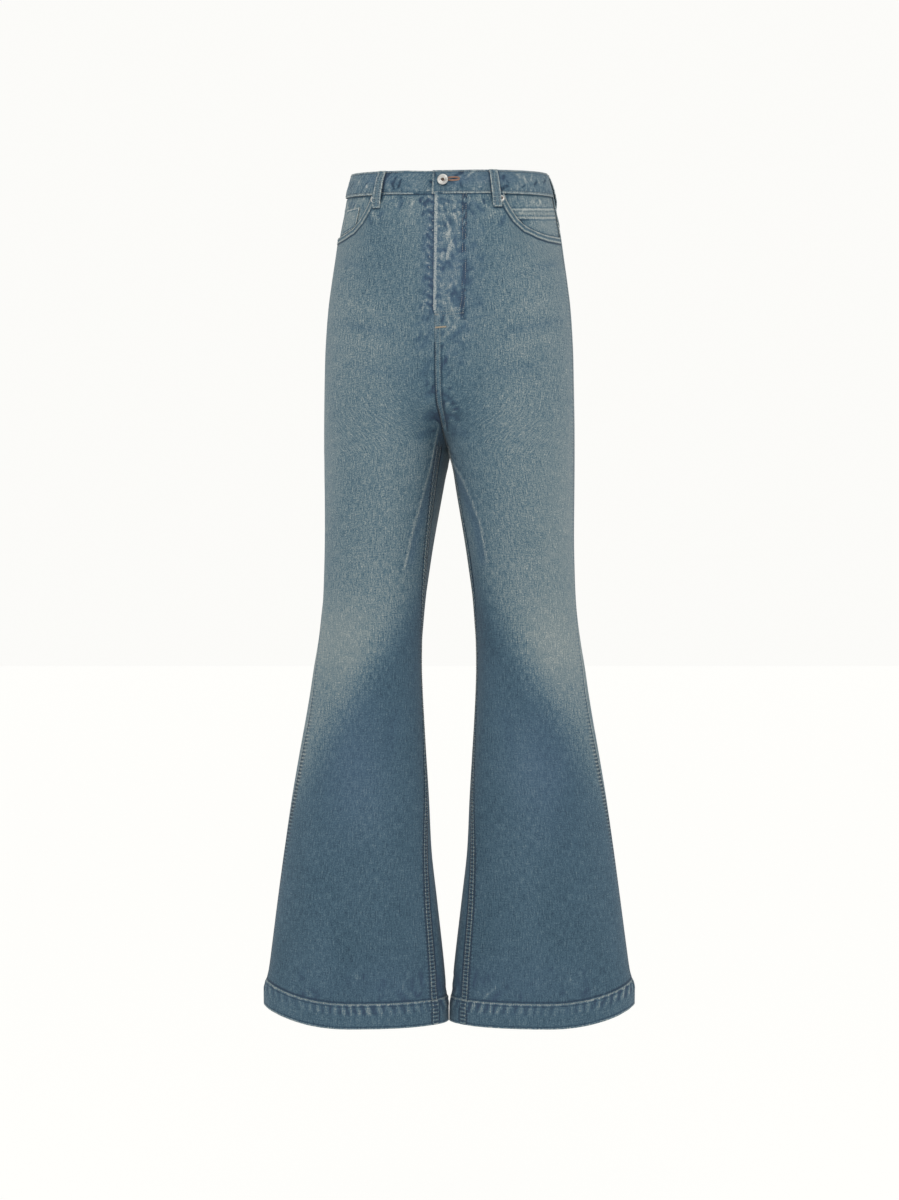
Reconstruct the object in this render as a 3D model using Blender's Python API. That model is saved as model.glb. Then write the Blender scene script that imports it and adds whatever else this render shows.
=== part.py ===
"""Bootcut five-pocket jeans, in the hollow form they have when worn, with no wearer.

Metres, +Z up, the front faces -Y. The origin is the middle of the waist, halfway up the
waistband, where the wearer holds the jeans up. Every wall is a closed shell of cloth.

The cloth follows rings, one for each leg. A place on a ring is an angle: 0 is the side that
faces the other leg, 90 the front, 180 the outer side and 270 the back. Above the fork the two
rings meet at the centre seams.
"""
import bpy
import bmesh
import numpy as np
from mathutils import Vector

MM = 0.001

# ------------------------------------------------------------------ driving sizes, millimetres
CLOTH = 1.5                 # wall of one layer of denim
SEAM_GAP = 0.3              # between two pieces
PATCH_GAP = 0.7             # under a patch, whose flat facets cross those of its panel
BAND_HEIGHT = 35.0
BAND_WALL = 2.6             # the waistband is folded double
BAND_PROUD = 1.0            # how far its face stands out over the panels
BAND_END_PAST_FRONT = 6.0   # the buttoned end passes the centre front
BAND_UNDERLAP = 36.0
BAND_SEAM_GAP = 0.5         # between the band and the panels under it
WAIST_TILT = 12.0           # the waist is this much lower in front and higher behind
SIDE_TOP = 17.5             # level of the band's top edge at the sides
FLY_WIDTH = 42.0
FLY_LENGTH = 185.0
FLY_PROUD = 1.2             # the folded fly edge stands over the other front
FLY_BUTTONS = 4
FLY_BUTTON_RADIUS = 7.0
FLY_BUTTON_HEIGHT = 2.8
FLY_BUTTON_FROM_EDGE = 19.0
FIRST_FLY_BUTTON = -62.0
FLY_BUTTON_STEP = 38.0
SHIELD_TOP = -31.2
SHIELD_WALL = 1.4
POCKET_FROM_CENTRE = 101.0  # inner end of the front pocket's opening, along the waist seam
FACING_PAST_OPENING = 12.0  # the facing reaches this far behind the front panel
FACING_BOTTOM = -96.0
FACING_WALL = 1.2
COIN_POCKET_TOP = -42.0
COIN_POCKET_INNER = 22.0    # distances from the opening's inner end
COIN_POCKET_OUTER = 58.0
YOKE_SIDE = -58.0           # levels of the yoke seam
YOKE_CENTRE = -96.0
BACK_POCKET_WIDTH = 150.0
BACK_POCKET_HEIGHT = 128.0
BACK_POCKET_POINT = 24.0
BACK_POCKET_TOP = -122.0
BACK_POCKET_FROM_CENTRE = 112.0
BACK_POCKET_NARROWS = 0.10  # share of its width lost at the bottom
FORK = -368.0               # level of the crotch point, where four seams meet
HEM_DEPTH = 37.0
HEM_PROUD = 0.9
FRONT_HEM_LEVEL = -1252.0
HEM_RISE_OUTER = 27.0       # the hem rises towards the outer side and the inner side
HEM_RISE_INNER = 2.0
FELL_PROUD = 0.7            # flat-felled seams stand out this much
YOKE_PROUD = 0.4            # and the yoke lies over the back panel this much
LOOP_WIDTH = 11.5
LOOP_LENGTH = 55.0
LOOP_WALL = 1.8
FRONT_LOOP_FROM_CENTRE = 83.0
SIDE_LOOP_ANGLE = 193.0     # just behind the outseam
BUTTON_RADIUS = 8.2
BUTTON_FROM_CENTRE = 10.0
RIVET_RADIUS = 4.7
RIVET_BEFORE_POCKET = 5.2   # the rivet sits just inside the pocket opening's inner end
RIVET_BELOW_BAND = 7.5

SQUARENESS = 2.15           # 2 is an ellipse, more is squarer
EDGE_SPARE = 0.05           # more room at the centre seams, whose walls lean
MM_A_DEGREE = 1.7           # about the length of one degree of a leg's ring

# A row for each section of the garment. All but the rises and the turn are millimetres.
#   level   height above the origin
#   outer   how far the outer side reaches from the middle
#   mid     where the ring is deepest
#   inner   how far the inner side stays from the middle, below the fork
#   front, back   depths of the ring from its own middle line
#   lean    that middle line's place, + is backwards
#   rise_f, rise_b   share of the depth that is left at the centre seam
#   turn    degrees that the section is turned towards the wearer's right
SECTION_COLUMNS = ("level", "outer", "mid", "inner", "front", "back", "lean", "rise_f", "rise_b", "turn")
SECTIONS = (
    (  40, 143.5,  36,  0.0,  97,  98, 0, 0.9997, 0.9995, 10.5),
    (  16, 147.2,  38,  0.0,  98, 100, 0, 0.9997, 0.9995, 10.5),
    ( -11, 154.4,  42,  0.0, 102, 107, 0, 0.9996, 0.9990, 10.5),
    ( -38, 159.2,  46,  0.0, 106, 115, 0, 0.9994, 0.9980, 10.4),
    ( -74, 166.4,  52,  0.0, 111, 124, 0, 0.999, 0.996, 10.2),
    (-110, 171.7,  57,  0.0, 115, 131, 0, 0.998, 0.993, 10.0),
    (-146, 177.0,  62,  0.0, 118, 137, 0, 0.997, 0.989, 10.0),
    (-182, 181.6,  67,  0.0, 120, 141, 0, 0.996, 0.984, 10.0),
    (-218, 184.3,  72,  0.0, 121, 143, 0, 0.994, 0.977, 10.0),
    (-254, 186.0,  77,  0.0, 121, 143, 0, 0.990, 0.966, 10.0),
    (-290, 186.6,  82,  0.0, 121, 141, 0, 0.982, 0.944, 10.0),
    (-312, 186.9,  85,  0.0, 120, 139, 0, 0.962, 0.905, 10.0),
    (-330, 187.1,  87,  0.0, 119, 137, 0, 0.910, 0.845, 10.0),
    (-346, 187.3,  89,  0.0, 118, 135, 0, 0.760, 0.765, 9.9),
    (-361, 187.4,  91,  0.0, 117, 133, 0, 0.570, 0.655, 9.8),
    (-368, 187.4,  92,  0.0, 117, 132, 0, 0.480, 0.595, 9.7),
    (-378, 187.4,  93,  0.0, 116, 131, 0, 0.365, 0.500, 9.6),
    (-390, 187.4,  94,  0.1, 116, 129, 0, 0.190, 0.320, 9.4),
    (-398, 187.4,  95,  0.5, 115, 128, 0, 0.000, 0.000, 9.3),
    (-410, 187.3,  96,  3.4, 115, 126, 1, 0.000, 0.000, 9.1),
    (-434, 187.2,  98,  8.2, 113, 123, 1, 0.000, 0.000, 8.6),
    (-470, 187.0, 101, 14.4, 109, 117, 2, 0.000, 0.000, 7.8),
    (-506, 186.9, 104, 20.2, 104, 110, 2, 0.000, 0.000, 6.8),
    (-542, 187.2, 107, 25.6,  98, 104, 2, 0.000, 0.000, 5.6),
    (-578, 188.0, 110, 30.3,  93,  98, 2, 0.000, 0.000, 4.4),
    (-614, 189.2, 113, 34.8,  88,  93, 2, 0.000, 0.000, 3.2),
    (-650, 192.3, 116, 37.9,  84,  89, 2, 0.000, 0.000, 2.2),
    (-686, 197.0, 120, 40.4,  80,  85, 2, 0.000, 0.000, 1.3),
    (-722, 202.9, 122, 41.0,  76,  82, 2, 0.000, 0.000, 0.6),
    (-758, 208.2, 123, 40.2,  73,  80, 3, 0.000, 0.000, 0.2),
    (-794, 214.2, 125, 38.5,  71,  79, 3, 0.000, 0.000, 0.0),
    (-848, 224.2, 129, 35.1,  70,  79, 4, 0.000, 0.000, 0.0),
    (-920, 236.6, 133, 30.4,  69,  78, 4, 0.000, 0.000, 0.0),
    (-992, 246.8, 136, 26.6,  68,  78, 4, 0.000, 0.000, 0.0),
    (-1064, 256.1, 137, 18.8,  68,  78, 5, 0.000, 0.000, 0.0),
    (-1136, 265.3, 139, 10.8,  68,  78, 5, 0.000, 0.000, 0.0),
    (-1172, 270.3, 140,  7.1,  68,  78, 5, 0.000, 0.000, 0.0),
    (-1208, 277.4, 142,  4.0,  68,  78, 5, 0.000, 0.000, 0.0),
    (-1232, 277.4, 141,  1.6,  68,  78, 5, 0.000, 0.000, 0.0),
    (-1260, 277.4, 141,  1.4,  68,  78, 5, 0.000, 0.000, 0.0),
)

# Angles of the two long seams on the leg's ring, from the fork to the hem.
SEAM_COLUMNS = ("level", "inseam", "outseam")
SEAMS = (
    (  40, 27, 180),
    (-368, 27, 180),
    (-425, 25, 180),
    (-548, 24, 179),
    (-610, 20, 176),
    (-690, 12, 163),
    (-770, 11, 159),
    (-870, 16, 163),
    (-980, 26, 170),
    (-1085, 33, 174),
    (-1260, 35, 176),
)

# The largest folds. side is +1 on the wearer's left, -1 on the right; a fold runs from the
# first place to the second, angle and level; depth in millimetres, - is a trough.
FOLD_COLUMNS = ("side", "angle_a", "level_a", "angle_b", "level_b", "width", "depth")
FOLDS = (
    (-1,  64, -350, 112, -314, 13, -1.6),
    (+1,  64, -350, 112, -314, 13, -1.6),
    (-1,  60, -384,  98, -372, 12, -1.3),
    (+1,  60, -384,  98, -372, 12, -1.3),
    (-1, 236, -622, 312, -640, 20, -4.6),
    (-1, 222, -672, 296, -664, 17, -3.8),
    (-1, 250, -716, 322, -700, 19, -3.2),
    (+1, 228, -612, 306, -634, 19, -4.4),
    (+1, 240, -662, 318, -676, 18, -4.0),
    (+1, 218, -708, 288, -704, 18, -3.0),
    (-1, 252, -372, 322, -412, 20, -3.2),
    (+1, 256, -366, 320, -420, 21, -3.0),
    (-1, 286, -425, 338, -452, 16, -2.4),
    (+1, 282, -432, 334, -448, 16, -2.4),
    (-1, 112, -850, 128, -1180, 26, 3.0),
    (+1, 112, -850, 128, -1180, 26, 3.0),
    (-1, 236, -830, 226, -1200, 30, 4.0),
    (+1, 240, -850, 230, -1200, 29, 3.8),
    (-1, 302, -900, 312, -1200, 26, 3.0),
    (+1, 298, -880, 306, -1200, 27, 3.2),
)

# The front pocket's opening: distance from its inner end, and how far it lies under the band.
POCKET_COLUMNS = ("across", "drop")
POCKET_OPENING = (
    (0.0, 0.0), (2.6, 10.5), (8.0, 25.0), (14.5, 37.5), (25.6, 48.5), (46.0, 56.5), (66.0, 60.0), (96.0, 61.0),
)

# Base colour, roughness, metallic
FINISHES = {
    "denim": ((0.155, 0.235, 0.300), 0.85, 0.0),
    "denim_band": ((0.150, 0.215, 0.262), 0.85, 0.0),
    "denim_pocket": ((0.175, 0.240, 0.285), 0.85, 0.0),
    "steel": ((0.62, 0.60, 0.56), 0.32, 1.0),
}


# ------------------------------------------------------------------ smooth tables
def table(columns, rows):
    """Named columns as arrays, ordered by their first column."""
    data = np.array(sorted(rows), dtype=float)
    return {name: data[:, i] for i, name in enumerate(columns)}


def smooth(x_rows, y_rows, x):
    """A curve through the rows that never swings past them."""
    steps = np.diff(x_rows)
    rates = np.diff(y_rows) / steps
    slopes = np.zeros_like(y_rows)
    slopes[0], slopes[-1] = rates[0], rates[-1]
    same_way = rates[:-1] * rates[1:] > 0
    both = np.where(same_way, rates[:-1] + rates[1:], 1.0)
    slopes[1:-1] = np.where(same_way, 2 * rates[:-1] * rates[1:] / both, 0.0)
    x = np.clip(np.asarray(x, dtype=float), x_rows[0], x_rows[-1])
    i = np.clip(np.searchsorted(x_rows, x) - 1, 0, len(steps) - 1)
    t = (x - x_rows[i]) / steps[i]
    start, end = y_rows[i], y_rows[i + 1]
    pull_start, pull_end = slopes[i] * steps[i], slopes[i + 1] * steps[i]
    return (start * (1 + 2 * t) * (1 - t) ** 2 + pull_start * t * (1 - t) ** 2
            + end * t * t * (3 - 2 * t) - pull_end * t * t * (1 - t))


SECTION = table(SECTION_COLUMNS, SECTIONS)
SEAM = table(SEAM_COLUMNS, SEAMS)
POCKET = table(POCKET_COLUMNS, POCKET_OPENING)


def section(name, level):
    return smooth(SECTION["level"], SECTION[name], level)


def seam_angle(name, level):
    return smooth(SEAM["level"], SEAM[name], level)


def pocket_drop(across):
    return np.where(across < 0, 0.0, smooth(POCKET["across"], POCKET["drop"], across))


def ease(t):
    """0 to 1 with a soft start and end."""
    t = np.clip(t, 0.0, 1.0)
    return t * t * (3 - 2 * t)


# ------------------------------------------------------------------ the leg's surface
def superellipse(angle):
    """Across and forward shares of a ring's half sizes at an angle in degrees."""
    turn = np.radians(angle)
    c, s = np.cos(turn), np.sin(turn)
    power = 2.0 / SQUARENESS
    return np.sign(c) * np.abs(c) ** power, np.sign(s) * np.abs(s) ** power


def base_point(side, angle, level):
    """A point of the cloth's outer face with no folds, millimetres."""
    across, forward = superellipse(angle)
    mid, inner = section("mid", level), section("inner", level)
    rise = np.where(forward > 0, section("rise_f", level), section("rise_b", level))
    narrow = (1 - rise ** SQUARENESS) ** (1 / SQUARENESS)
    half = np.where(across > 0, (mid - inner) / narrow, section("outer", level) - mid)
    depth = np.where(forward > 0, section("front", level), section("back", level))
    x = side * (mid - half * across)
    y = section("lean", level) - depth * forward
    turn = np.radians(section("turn", level))
    return np.stack([x * np.cos(turn) + y * np.sin(turn), y * np.cos(turn) - x * np.sin(turn),
                     level + 0 * x], axis=-1)


def outward(side, angle, level):
    """Unit vectors out of the cloth."""
    round_the_ring = base_point(side, angle + 0.6, level) - base_point(side, angle - 0.6, level)
    upwards = base_point(side, angle, level + 2.0) - base_point(side, angle, level - 2.0)
    normal = side * np.cross(round_the_ring, upwards)
    return normal / np.linalg.norm(normal, axis=-1, keepdims=True)


def folds(side, angle, level):
    """How far the folds lift or sink the cloth."""
    lift = np.zeros(np.broadcast(angle, level).shape)
    for row in FOLDS:
        fold = dict(zip(FOLD_COLUMNS, row))
        if fold["side"] != side:
            continue
        run = np.array([(fold["angle_b"] - fold["angle_a"]) * MM_A_DEGREE, fold["level_b"] - fold["level_a"]])
        length = np.hypot(*run)
        dx, dz = (angle - fold["angle_a"]) * MM_A_DEGREE, level - fold["level_a"]
        along = (dx * run[0] + dz * run[1]) / length ** 2
        off = (dx * run[1] - dz * run[0]) / length
        ends = ease(along / 0.35) * ease((1 - along) / 0.35)
        lift = lift + fold["depth"] * ends * np.exp(-(off / fold["width"]) ** 2)
    return lift


def cloth_point(side, angle, level, proud=0.0):
    """A point of the cloth, folds and all, moved out by proud millimetres."""
    normal = outward(side, angle, level)
    lift = (folds(side, angle, level) + proud)[..., None]
    return base_point(side, angle, level) + normal * lift


def centre_angle(level, back=False):
    """The ring's angle at the centre seam, above the fork, just clear of the other side."""
    mid, inner = section("mid", level), section("inner", level)
    rise = section("rise_b" if back else "rise_f", level)
    narrow = (1 - rise ** SQUARENESS) ** (1 / SQUARENESS)
    across = np.clip((mid - SEAM_GAP / 2 - EDGE_SPARE) * narrow / (mid - inner), 0, 1)
    angle = np.degrees(np.arccos(across ** (SQUARENESS / 2)))
    return 360 - angle if back else angle


# ------------------------------------------------------------------ places by distance
def ring_lengths(level):
    """Angles from the centre front to the centre back, and the distance to each."""
    angles = np.linspace(centre_angle(level), centre_angle(level, back=True), 240)
    points = base_point(1, angles, np.full_like(angles, level))
    steps = np.linalg.norm(np.diff(points, axis=0), axis=-1)
    return angles, np.concatenate([[0.0], np.cumsum(steps)])


def angle_at(distance, level):
    """Ring angle at a distance from the centre front."""
    angles, lengths = ring_lengths(level)
    return np.interp(distance, lengths, angles)


def distance_at(angle, level):
    angles, lengths = ring_lengths(level)
    return np.interp(angle, angles, lengths)


def half_girth(level):
    return ring_lengths(level)[1][-1]


def round_the_body(share, level, proud=0.0):
    """A point at a share of the half girth: 0 centre front, 1 and -1 centre back, + on the left."""
    share = (share + 1.0) % 2.0 - 1.0
    side = 1 if share >= 0 else -1
    angle = np.array(angle_at(abs(share) * half_girth(level), level))
    return cloth_point(side, angle, np.array(float(level)), np.array(float(proud)))


def waist_line(side, angle, below_top):
    """Level of a line that runs round the waist this far under its top edge."""
    backwards = base_point(side, np.asarray(angle, dtype=float), np.zeros(np.shape(angle)))[..., 1]
    return SIDE_TOP - below_top + WAIST_TILT * backwards / section("front", 0.0)


def level_round_the_waist(share, below_top):
    """The same line's level at a share of the half girth."""
    share = (share + 1.0) % 2.0 - 1.0
    side = 1 if share >= 0 else -1
    level = 0.0
    for _ in range(3):
        angle = float(angle_at(abs(share) * half_girth(level), level))
        level = float(waist_line(side, angle, below_top))
    return level


def hem_level(angle):
    across = np.cos(np.radians(angle))
    return (FRONT_HEM_LEVEL + HEM_RISE_OUTER * np.clip(-across, 0, 1) ** 2
            + HEM_RISE_INNER * np.clip(across, 0, 1) ** 2)


# ------------------------------------------------------------------ making solids
def finish(name):
    """The material of a finish, made once."""
    if name in bpy.data.materials:
        return bpy.data.materials[name]
    colour, roughness, metallic = FINISHES[name]
    material = bpy.data.materials.new(name)
    material.use_nodes = True
    shader = material.node_tree.nodes["Principled BSDF"]
    shader.inputs["Base Color"].default_value = (*colour, 1.0)
    shader.inputs["Roughness"].default_value = roughness
    shader.inputs["Metallic"].default_value = metallic
    return material


def add_solid(name, points, faces, finish_name):
    """An object from points in millimetres, its faces turned outwards."""
    mesh = bpy.data.meshes.new(name)
    mesh.from_pydata([tuple(float(v) * MM for v in p) for p in points], [], faces)
    shape = bmesh.new()
    shape.from_mesh(mesh)
    bmesh.ops.recalc_face_normals(shape, faces=shape.faces)
    if shape.calc_volume(signed=True) < 0:
        bmesh.ops.reverse_faces(shape, faces=shape.faces)
    shape.to_mesh(mesh)
    shape.free()
    mesh.materials.append(finish(finish_name))
    piece = bpy.data.objects.new(name, mesh)
    bpy.context.collection.objects.link(piece)
    return piece


def add_wall(name, outer, inner, finish_name):
    """A closed wall between an outer and an inner grid of points, rows by columns."""
    rows, columns = outer.shape[:2]
    count = rows * columns
    points = np.concatenate([outer.reshape(-1, 3), inner.reshape(-1, 3)])

    def at(row, column, layer):
        return layer * count + row * columns + column

    faces = []
    for row in range(rows - 1):
        for column in range(columns - 1):
            for layer in (0, 1):
                ring = [at(row, column, layer), at(row, column + 1, layer),
                        at(row + 1, column + 1, layer), at(row + 1, column, layer)]
                faces.append(ring if layer else ring[::-1])
    border = ([(0, c) for c in range(columns)] + [(r, columns - 1) for r in range(1, rows)]
              + [(rows - 1, c) for c in range(columns - 2, -1, -1)] + [(r, 0) for r in range(rows - 2, 0, -1)])
    for here, there in zip(border, border[1:] + border[:1]):
        faces.append([at(*here, 0), at(*there, 0), at(*there, 1), at(*here, 1)])
    return add_solid(name, points, faces, finish_name)


def add_panel(name, side, angle, level, proud=0.0, wall=CLOTH, sunk=0.0, finish_name="denim"):
    """A wall of cloth over a grid of angles and levels; sunk moves both its faces inwards."""
    level = level + 0 * angle
    proud = proud + 0 * angle
    outer = cloth_point(side, angle, level, proud - sunk)
    inner = cloth_point(side, angle, level, 0 * proud - wall - sunk)
    return add_wall(name, outer, inner, finish_name)


def add_turned(name, profile, place, axis, segments, finish_name):
    """A solid turned about an axis; the profile is radius and height pairs, first and last at 0 radius."""
    to_axis = Vector((0, 0, 1)).rotation_difference(Vector(axis))
    points, faces = [], []
    for radius, height in profile[1:-1]:
        for k in range(segments):
            turn = 2 * np.pi * k / segments
            points.append(Vector((radius * np.cos(turn), radius * np.sin(turn), height)))
    first, last = len(points), len(points) + 1
    points += [Vector((0, 0, profile[0][1])), Vector((0, 0, profile[-1][1]))]
    rings = len(profile) - 2
    for k in range(segments):
        n = (k + 1) % segments
        faces.append([first, n, k])
        faces.append([last, (rings - 1) * segments + k, (rings - 1) * segments + n])
        for ring in range(rings - 1):
            low = ring * segments
            faces.append([low + k, low + n, low + segments + n, low + segments + k])
    placed = [to_axis @ point + Vector(place) for point in points]
    return add_solid(name, placed, faces, finish_name)


# ------------------------------------------------------------------ the legs' panels
# The rows of the panels, from under the pockets down to above the hem. Both panels of a leg have
# the same levels along the outseam and, below the fork, along the inseam.
OUTSEAM_ROWS = (-130, -158, -186, -214, -244, -275, -303, -328, -349, -364, -376, -386, -395, -403,
                -411, -420, -434, -451, -474, -504, -540, -578, -616, -656, -698, -740, -786,
                -836, -892, -954, -1020, -1092)
FRONT_RISE_ROWS = (-130, -158, -186, -214, -244, -270, -291, -307, -319, -329, -337, -344, -351, -357,
                   -363, FORK)
BACK_RISE_ROWS = (-130, -158, -186, -214, -244, -275, -303, -328, -350, FORK, -382, -392, -398)
UNDER_FORK_ROWS = (-391, -380, FORK)
INSEAM_ROWS = (-386, -410, -440, -476, -518, -562, -606, -652, -696, -740, -786, -836, -892, -954,
               -1020, -1092)
BACK_COLUMNS = (0, 0.055, 0.12, 0.19, 0.26, 0.32, 0.375, 0.43, 0.485, 0.54, 0.595, 0.65, 0.705, 0.76, 0.81,
                0.86, 0.905, 0.945, 0.975, 1.0)
UNDER_FORK_REACH = 14       # how sharply the back's rows bend up to the fork at their inner ends
FRONT_REACH = 2.5           # the same for the front's
EDGE = 0.10                 # degrees from a panel's edge to the seam's middle
FRONT_COLUMNS = (0, 13, 27, 41, 43.5, 62, 82, 99, 102.3, 108, 118, 130, 144, 158, 172, 186, 199)
POCKET_LEVEL = -40.0        # level where distances along the waist seam are measured


def hem_rows(angle, last_level):
    """Rows from the last even one down to the hem: evenly, then the stitch line and the fold."""
    top = hem_level(angle) + HEM_DEPTH
    even = [last_level + (top - last_level) * share for share in (0.5, 1.0)]
    return even + [top - 1.0, (top - 1.0 + hem_level(angle)) / 2, hem_level(angle)]


def hem_lift(rows, columns):
    """The hem's turned-up cloth makes its outer face stand out on the last three rows."""
    lift = np.zeros((rows, columns))
    lift[-3:] = HEM_PROUD
    return lift


def front_panel(side, name):
    outer_edge = float(seam_angle("outseam", POCKET_LEVEL)) - EDGE
    start = float(centre_angle(POCKET_LEVEL))
    reach = float(distance_at(outer_edge, POCKET_LEVEL))
    distances = np.array([*FRONT_COLUMNS, reach])
    shares = (angle_at(distances, POCKET_LEVEL) - start) / (outer_edge - start)
    shares = (shares - shares[0]) / (shares[-1] - shares[0])

    angles, levels = [], []
    top_angle = start + (outer_edge - start) * shares
    top = waist_line(side, top_angle, BAND_HEIGHT + BAND_SEAM_GAP) - pocket_drop(distances - POCKET_FROM_CENTRE)
    rows = [top + (OUTSEAM_ROWS[0] - top) * share for share in (0.0, 0.25, 0.55)]
    for inner, outer in zip(FRONT_RISE_ROWS + INSEAM_ROWS, OUTSEAM_ROWS):
        rows.append(outer + (inner - outer) * (1 - shares) ** FRONT_REACH)
    for row in rows:
        inner = row[0]
        low = centre_angle(inner) if inner >= FORK else seam_angle("inseam", inner) + EDGE
        high = seam_angle("outseam", row[-1]) - EDGE
        angles.append(low + (high - low) * shares)
        levels.append(row)
    for row in hem_rows(angles[-1], OUTSEAM_ROWS[-1]):
        low, high = seam_angle("inseam", row) + EDGE, seam_angle("outseam", row) - EDGE
        angles.append(low + (high - low) * shares)
        levels.append(row)
    angle, level = np.array(angles), np.array(levels)
    proud = hem_lift(*angle.shape)
    if side > 0:
        fly = (level > SIDE_TOP - BAND_HEIGHT - FLY_LENGTH) & (shares < shares[4])
        proud = proud + np.where(fly, FLY_PROUD, 0.0)
    return add_panel(name, side, angle, level, proud)


def back_inner_edge():
    """The back panel's inner edge, row by row: its level and its ring angle, past 360 beyond the fork."""
    rise = [(level, float(centre_angle(level, back=True))) for level in BACK_RISE_ROWS]
    under = [(level, 360 + float(centre_angle(level))) for level in UNDER_FORK_ROWS]
    inseam = [(level, 360 + float(seam_angle("inseam", level)) - EDGE) for level in INSEAM_ROWS]
    return rise + under + inseam


def yoke_seam(angle):
    """Level of the yoke's lower seam, dropping from the side to the centre back."""
    return YOKE_SIDE + (YOKE_CENTRE - YOKE_SIDE) * np.clip((angle - 180) / 100, 0, 1)


def back_panel(side, name):
    shares = np.array(BACK_COLUMNS)
    angles, levels = [], []
    outer = 180 + EDGE
    top_angle = outer + (float(centre_angle(YOKE_CENTRE, back=True)) - outer) * shares
    top = yoke_seam(top_angle) - SEAM_GAP
    for share in (0.0, 0.5):
        row = top + (OUTSEAM_ROWS[0] - top) * share
        inner_end = float(centre_angle(row[-1], back=True))
        angles.append(outer + (inner_end - outer) * shares)
        levels.append(row)
    for (inner_level, inner_end), far_level in zip(back_inner_edge(), OUTSEAM_ROWS):
        row = far_level + (inner_level - far_level) * shares ** UNDER_FORK_REACH
        start = seam_angle("outseam", far_level) + EDGE
        angles.append(start + (inner_end - start) * shares)
        levels.append(row)
    for row in hem_rows(angles[-1], OUTSEAM_ROWS[-1]):
        start, end = seam_angle("outseam", row) + EDGE, 360 + seam_angle("inseam", row) - EDGE
        angles.append(start + (end - start) * shares)
        levels.append(row)
    angle, level = np.array(angles), np.array(levels)
    proud = hem_lift(*angle.shape)
    on_outseam = shares < 0.056
    on_inseam = (shares > 0.95)[None, :] & (level < -440)
    proud = proud + np.where(on_outseam[None, :] | on_inseam, FELL_PROUD, 0.0) * (proud == 0)
    return add_panel(name, side, angle, level, proud)


def yoke(side, name):
    """The shaped piece between the band and the back panel, with the panel's columns."""
    shares = np.array(BACK_COLUMNS)
    outer = 180 + EDGE

    def across(centre_level):
        return outer + (float(centre_angle(centre_level, back=True)) - outer) * shares

    bottom = yoke_seam(across(YOKE_CENTRE))
    top = waist_line(side, across(0.0), BAND_HEIGHT + BAND_SEAM_GAP)
    top = waist_line(side, across(top[-1]), BAND_HEIGHT + BAND_SEAM_GAP)
    rows = np.array([top + (bottom - top) * share for share in (0.0, 0.5, 1.0)])
    angles = np.array([across(row[-1]) for row in rows])
    return add_panel(name, side, angles, rows, proud=YOKE_PROUD)


# ------------------------------------------------------------------ pockets, fly, band, loops
def pocket_facing(side, name):
    """The piece that shows inside the front pocket's opening, behind the front panel."""
    outer_edge = float(seam_angle("outseam", POCKET_LEVEL)) - EDGE
    start = float(angle_at(POCKET_FROM_CENTRE - FACING_PAST_OPENING, POCKET_LEVEL))
    angle = np.linspace(start, outer_edge, 12)
    top = waist_line(side, angle, BAND_HEIGHT + BAND_SEAM_GAP)
    rows = np.array([top + (FACING_BOTTOM - top) * share for share in (0.0, 0.25, 0.5, 0.75, 1.0)])
    return add_panel(name, side, angle[None, :] + 0 * rows, rows, sunk=CLOTH + PATCH_GAP, wall=FACING_WALL,
                     finish_name="denim_pocket")


def coin_pocket(side, name):
    """The small pocket on the facing, as far as the opening shows it."""
    past_opening = np.linspace(COIN_POCKET_INNER, COIN_POCKET_OUTER, 5)
    angle = angle_at(POCKET_FROM_CENTRE + past_opening, POCKET_LEVEL)
    bottom = waist_line(side, angle, BAND_HEIGHT + BAND_SEAM_GAP) - pocket_drop(past_opening) + 2.0
    rows = np.array([COIN_POCKET_TOP + (bottom - COIN_POCKET_TOP) * share for share in (0.0, 0.5, 1.0)])
    return add_panel(name, side, angle[None, :] + 0 * rows, rows, sunk=SEAM_GAP, wall=FACING_WALL,
                     finish_name="denim_pocket")


def back_pocket(side, name):
    """A plain patch pocket with a pointed lower edge, made from the back panel's points, moved out."""
    columns = np.linspace(-1, 1, 9)
    shares = np.linspace(0, 1, 7)
    angles, levels = [], []
    for share in shares:
        half = BACK_POCKET_WIDTH / 2 * (1 - BACK_POCKET_NARROWS * share)
        level = BACK_POCKET_TOP - (BACK_POCKET_HEIGHT + BACK_POCKET_POINT * (1 - np.abs(columns))) * share
        from_centre = BACK_POCKET_FROM_CENTRE - half * columns
        angles.append([float(angle_at(half_girth(z) - d, z)) for d, z in zip(from_centre, level)])
        levels.append(level)
    return add_panel(name, side, np.array(angles), np.array(levels), sunk=-(CLOTH + PATCH_GAP),
                     finish_name="denim_pocket")


def fly_shield(name):
    """The under piece of the fly, from the right front behind the left one; it carries the buttons."""
    distances = np.array([-9.0, -4.0, 1.0, 6.0, 18.0, 30.0, FLY_WIDTH])
    depth = CLOTH + SEAM_GAP + (FLY_BUTTON_HEIGHT + SEAM_GAP) * ease((distances + 4.0) / 10.0)
    levels = np.linspace(SHIELD_TOP, SIDE_TOP - BAND_HEIGHT - FLY_LENGTH + 8, 7)
    grid = [[(d / half_girth(z), z, s) for d, s in zip(distances, depth)] for z in levels]
    outer = np.array([[round_the_body(share, z, -s) for share, z, s in row] for row in grid])
    inner = np.array([[round_the_body(share, z, -s - SHIELD_WALL) for share, z, s in row] for row in grid])
    return add_wall(name, outer, inner, "denim_pocket")


def on_cloth(distance, level, proud):
    """A place on the body and the way out of the cloth there; distance from the centre front, + left."""
    side = 1 if distance >= 0 else -1
    angle = np.array(float(angle_at(abs(distance), level)))
    return cloth_point(side, angle, np.array(level), np.array(proud)), outward(side, angle, np.array(level))


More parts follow.
